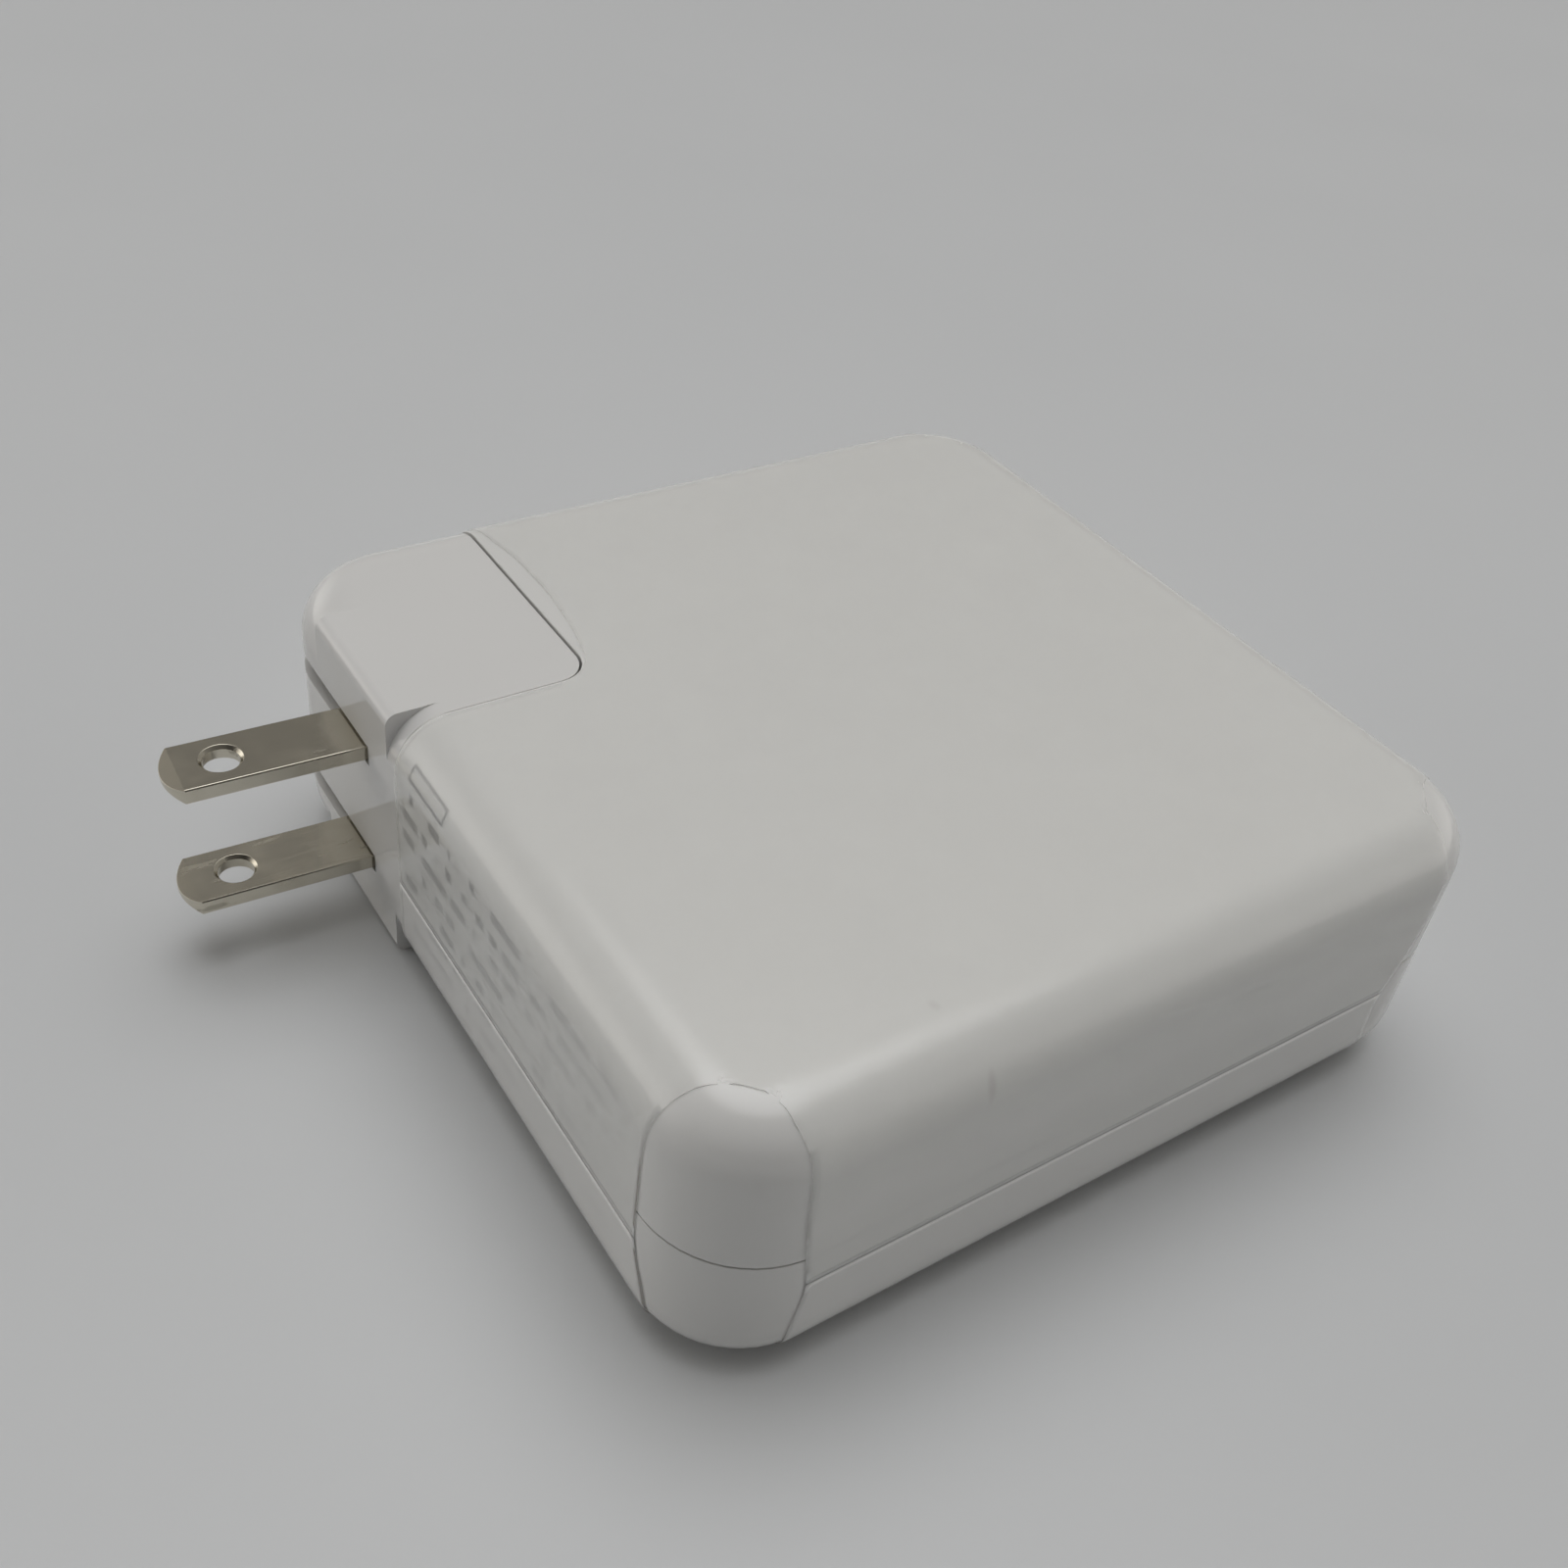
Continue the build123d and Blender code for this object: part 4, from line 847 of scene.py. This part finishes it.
slot_finish = {
    "case_plastic": case_finish,
    "plug_plastic": plug_finish,
    "clear_film": sheet_finish,
    "nickel": nickel,
    "steel": steel,
    "contact_brass": brass,
    "spreader_metal": spreader,
    "capacitor_can": can,
    "dark_plastic": moulding("dark_moulding", (0.035, 0.035, 0.038), 0.42),
    "board": printed_board(),
    "insulating_film": moulding("insulating_film", (0.74, 0.66, 0.42), 0.32, 1.4, 0.004),
    "ferrite": moulding("ferrite", (0.055, 0.055, 0.058), 0.55, 0.25, 0.03, 0.3),
    "copper_winding": wound("enamelled_copper", (0.78, 0.36, 0.16), 0.9, 2),
    "capacitor_sleeve": sleeve("shrink_sleeve", (0.03, 0.04, 0.09), (0.62, 0.62, 0.6), 1),
    "film_capacitor": moulding("yellow_moulding", (0.78, 0.5, 0.05), 0.36, 0.9, 0.01),
    "disc_capacitor": moulding("blue_dip", (0.05, 0.16, 0.5), 0.28, 1.6, 0.03),
    "component_black": moulding("black_moulding", (0.03, 0.03, 0.03), 0.5, 0.3, 0.015),
    "fuse_body": moulding("fuse_ceramic", (0.5, 0.42, 0.33), 0.45, 0.4, 0.02),
    "lead_black": moulding("black_insulation", (0.025, 0.025, 0.027), 0.48, 0.6, 0.01),
    "lead_white": moulding("white_insulation", (0.76, 0.75, 0.72), 0.46, 0.6, 0.01),
    "thermal_pad": moulding("thermal_pad", (0.38, 0.44, 0.5), 0.7, 0.35, 0.03, 0.3),
}
for material in frame["record"]["materials"]:
    print(material["slot"], "->", slot_finish[material["slot"]].material.name)

# %% [markdown]
# ## Dressing the parts
# Every frame part names its slot, so one finish for each slot is enough. Finishes set by hand would be lost
# when the parts are measured again, so a loop reads each slot's name. The film's pieces take two: the haze on
# the outer face, and an almost clear one below and at the rim.

# %% Put the finishes on the frame's parts and on the new pieces
for node in nodes.values():
    slot = node.material_slots[0].material.name.split(".")[0]
    node.material_slots[0].material = slot_finish[slot].material
print("finishes on", len(nodes), "frame parts")


def dress(piece, *finishes):
    """Gives a piece its finishes, in the order of its material numbers."""
    piece.data.materials.clear()
    for finish in finishes:
        piece.data.materials.append(finish.material)


dress(upper_case, case_finish)
dress(lower_case, case_finish)
dress(upper_film, sheet_finish, underside)
dress(lower_film, flap_finish, underside)
for piece in (plug, rear_cover):
    dress(piece, plug_finish)
for piece in blades:
    dress(piece, nickel)
for piece in (stud, port):
    dress(piece, steel)
for piece in (carrier, inlet, tongue):
    dress(piece, slot_finish["dark_plastic"])

# %% [markdown]
# ## Floor
# The charger lies on white board. A plane lit evenly looks like nothing at all, so the board has a slow drift
# of tone, a fine fibre and a few crumbs of dust.

# %% Floor
floor_half = 1.6                        # metres
floor_drop = 0.00002                    # the floor lies just below the part
floor_grid = np.array([[-1, -1, 0], [1, -1, 0], [1, 1, 0], [-1, 1, 0]]) * floor_half
floor_mesh = bpy.data.meshes.new("floor")
floor_mesh.from_pydata((floor_grid - [0, 0, floor_drop]).tolist(), [], [[0, 1, 2, 3]])
floor = link("floor", floor_mesh)
paper = Finish("white_board")
fibre = paper.noise(0.6, 4)
board_tone = paper.blend(paper.noise(60, 2), (0.665, 0.675, 0.685), (0.64, 0.65, 0.66))
crumb = paper.cells(34).step(0.013, 0.009)
paper.set(Base_Color=paper.blend(crumb * 0.7, board_tone, (0.1, 0.1, 0.1)))
paper.set(Roughness=0.5 + fibre * 0.1, Normal=paper.relief(fibre, 0.01))
dress(floor, paper)
print("floor", 2 * floor_half, "m wide")

# %% [markdown]
# ## Light
# A pale ceiling does most of the lighting. An image of a room could stand for it, but a few ramps of the
# direction are easier to tune: the world is bright overhead, pale low down at both flanks, and dark behind
# the camera. One large soft lamp adds a direction to the shadow.

# %% World and lamp
world = bpy.data.worlds.new("room")
bpy.context.scene.world = world
world.use_nodes = True


class Room(Finish):
    """The same node writing for the world's background."""

    def __init__(self, world_tree):
        self.tree = world_tree
        self.shader = world_tree.nodes["Background"]


OVERHEAD = 2.43                         # strength straight above
EVEN = 0.165                            # strength on every side
RIGHT_FLANK = 0.98
LEFT_FLANK = 1.45
VIEWER_SHADE = 0.92                     # share taken off behind the camera
TILT = math.radians(10)                 # the bright part leans away from the camera
CAMERA_TURN = math.radians(52.0)        # heading of the camera's view, from the X axis
room = Room(world.node_tree)
direction = room.node("TexCoord", output="Generated")
dx, dy, dz = (room.node("SeparateXYZ", None, {0: direction}, k) for k in range(3))
toward_camera = dx * -math.cos(CAMERA_TURN) + dy * -math.sin(CAMERA_TURN)
overhead = (dz * math.cos(TILT) - toward_camera * math.sin(TILT)).step(0.82, 0.99)
low = dz.step(0.65, 0.2)
viewer = toward_camera.step(-0.1, 0.7) * dz.step(1.0, 0.6)
across = dx * math.sin(CAMERA_TURN) - dy * math.cos(CAMERA_TURN)
flanks = across.step(0.45, 0.97) * RIGHT_FLANK + across.step(-0.45, -0.97) * LEFT_FLANK
level = (overhead * OVERHEAD + EVEN + flanks * low) * (1 - viewer * VIEWER_SHADE)
room.set(Color=room.blend(overhead, (1.0, 0.972, 0.925), (0.985, 0.992, 1.0)), Strength=level)

lamp_data = bpy.data.lights.new("ceiling_panel", "AREA")
lamp_data.shape = "RECTANGLE"
lamp_data.size = 0.9
lamp_data.size_y = 0.6
lamp_data.energy = 0.3
lamp_data.color = (1.0, 0.99, 0.97)
lamp = bpy.data.objects.new("ceiling_panel", lamp_data)
bpy.context.scene.collection.objects.link(lamp)
lamp.location = (0.15, 0.35, 0.95)
lamp.rotation_euler = lamp.location.to_track_quat("Z", "Y").to_euler()
print("lamp", lamp_data.energy, "W")

# %% [markdown]
# ## Camera
# The view is a hand-held one, from above the front corner and a little rolled. It could be set by eye, but
# a place, three angles and a lens written as numbers give the same view each run.

# %% Camera
CAMERA_PLACE = np.array([-80.12, -92.04, 113.15])       # millimetres from the middle of the underside
CAMERA_DOWN = math.radians(-38.96)                      # below level
CAMERA_ROLL = math.radians(7.876)
reach = math.cos(CAMERA_DOWN)
heading = (reach * math.cos(CAMERA_TURN), reach * math.sin(CAMERA_TURN), math.sin(CAMERA_DOWN))
forward = Vector(heading)
level_right = Vector((math.sin(CAMERA_TURN), -math.cos(CAMERA_TURN), 0))
level_up = level_right.cross(forward)
right = level_right * math.cos(CAMERA_ROLL) + level_up * math.sin(CAMERA_ROLL)
camera_data = bpy.data.cameras.new("camera")
camera_data.lens = 38.11
camera_data.sensor_width = 36
camera_data.clip_start = 0.01
camera = bpy.data.objects.new("camera", camera_data)
bpy.context.scene.collection.objects.link(camera)
turn = Matrix((right, (-forward).cross(right), -forward)).transposed()
camera.matrix_world = Matrix.Translation(Vector(CAMERA_PLACE * MM)) @ turn.to_4x4()
bpy.context.scene.camera = camera
bpy.context.scene.view_settings.view_transform = "Standard"
print("camera", camera_data.lens, "mm")
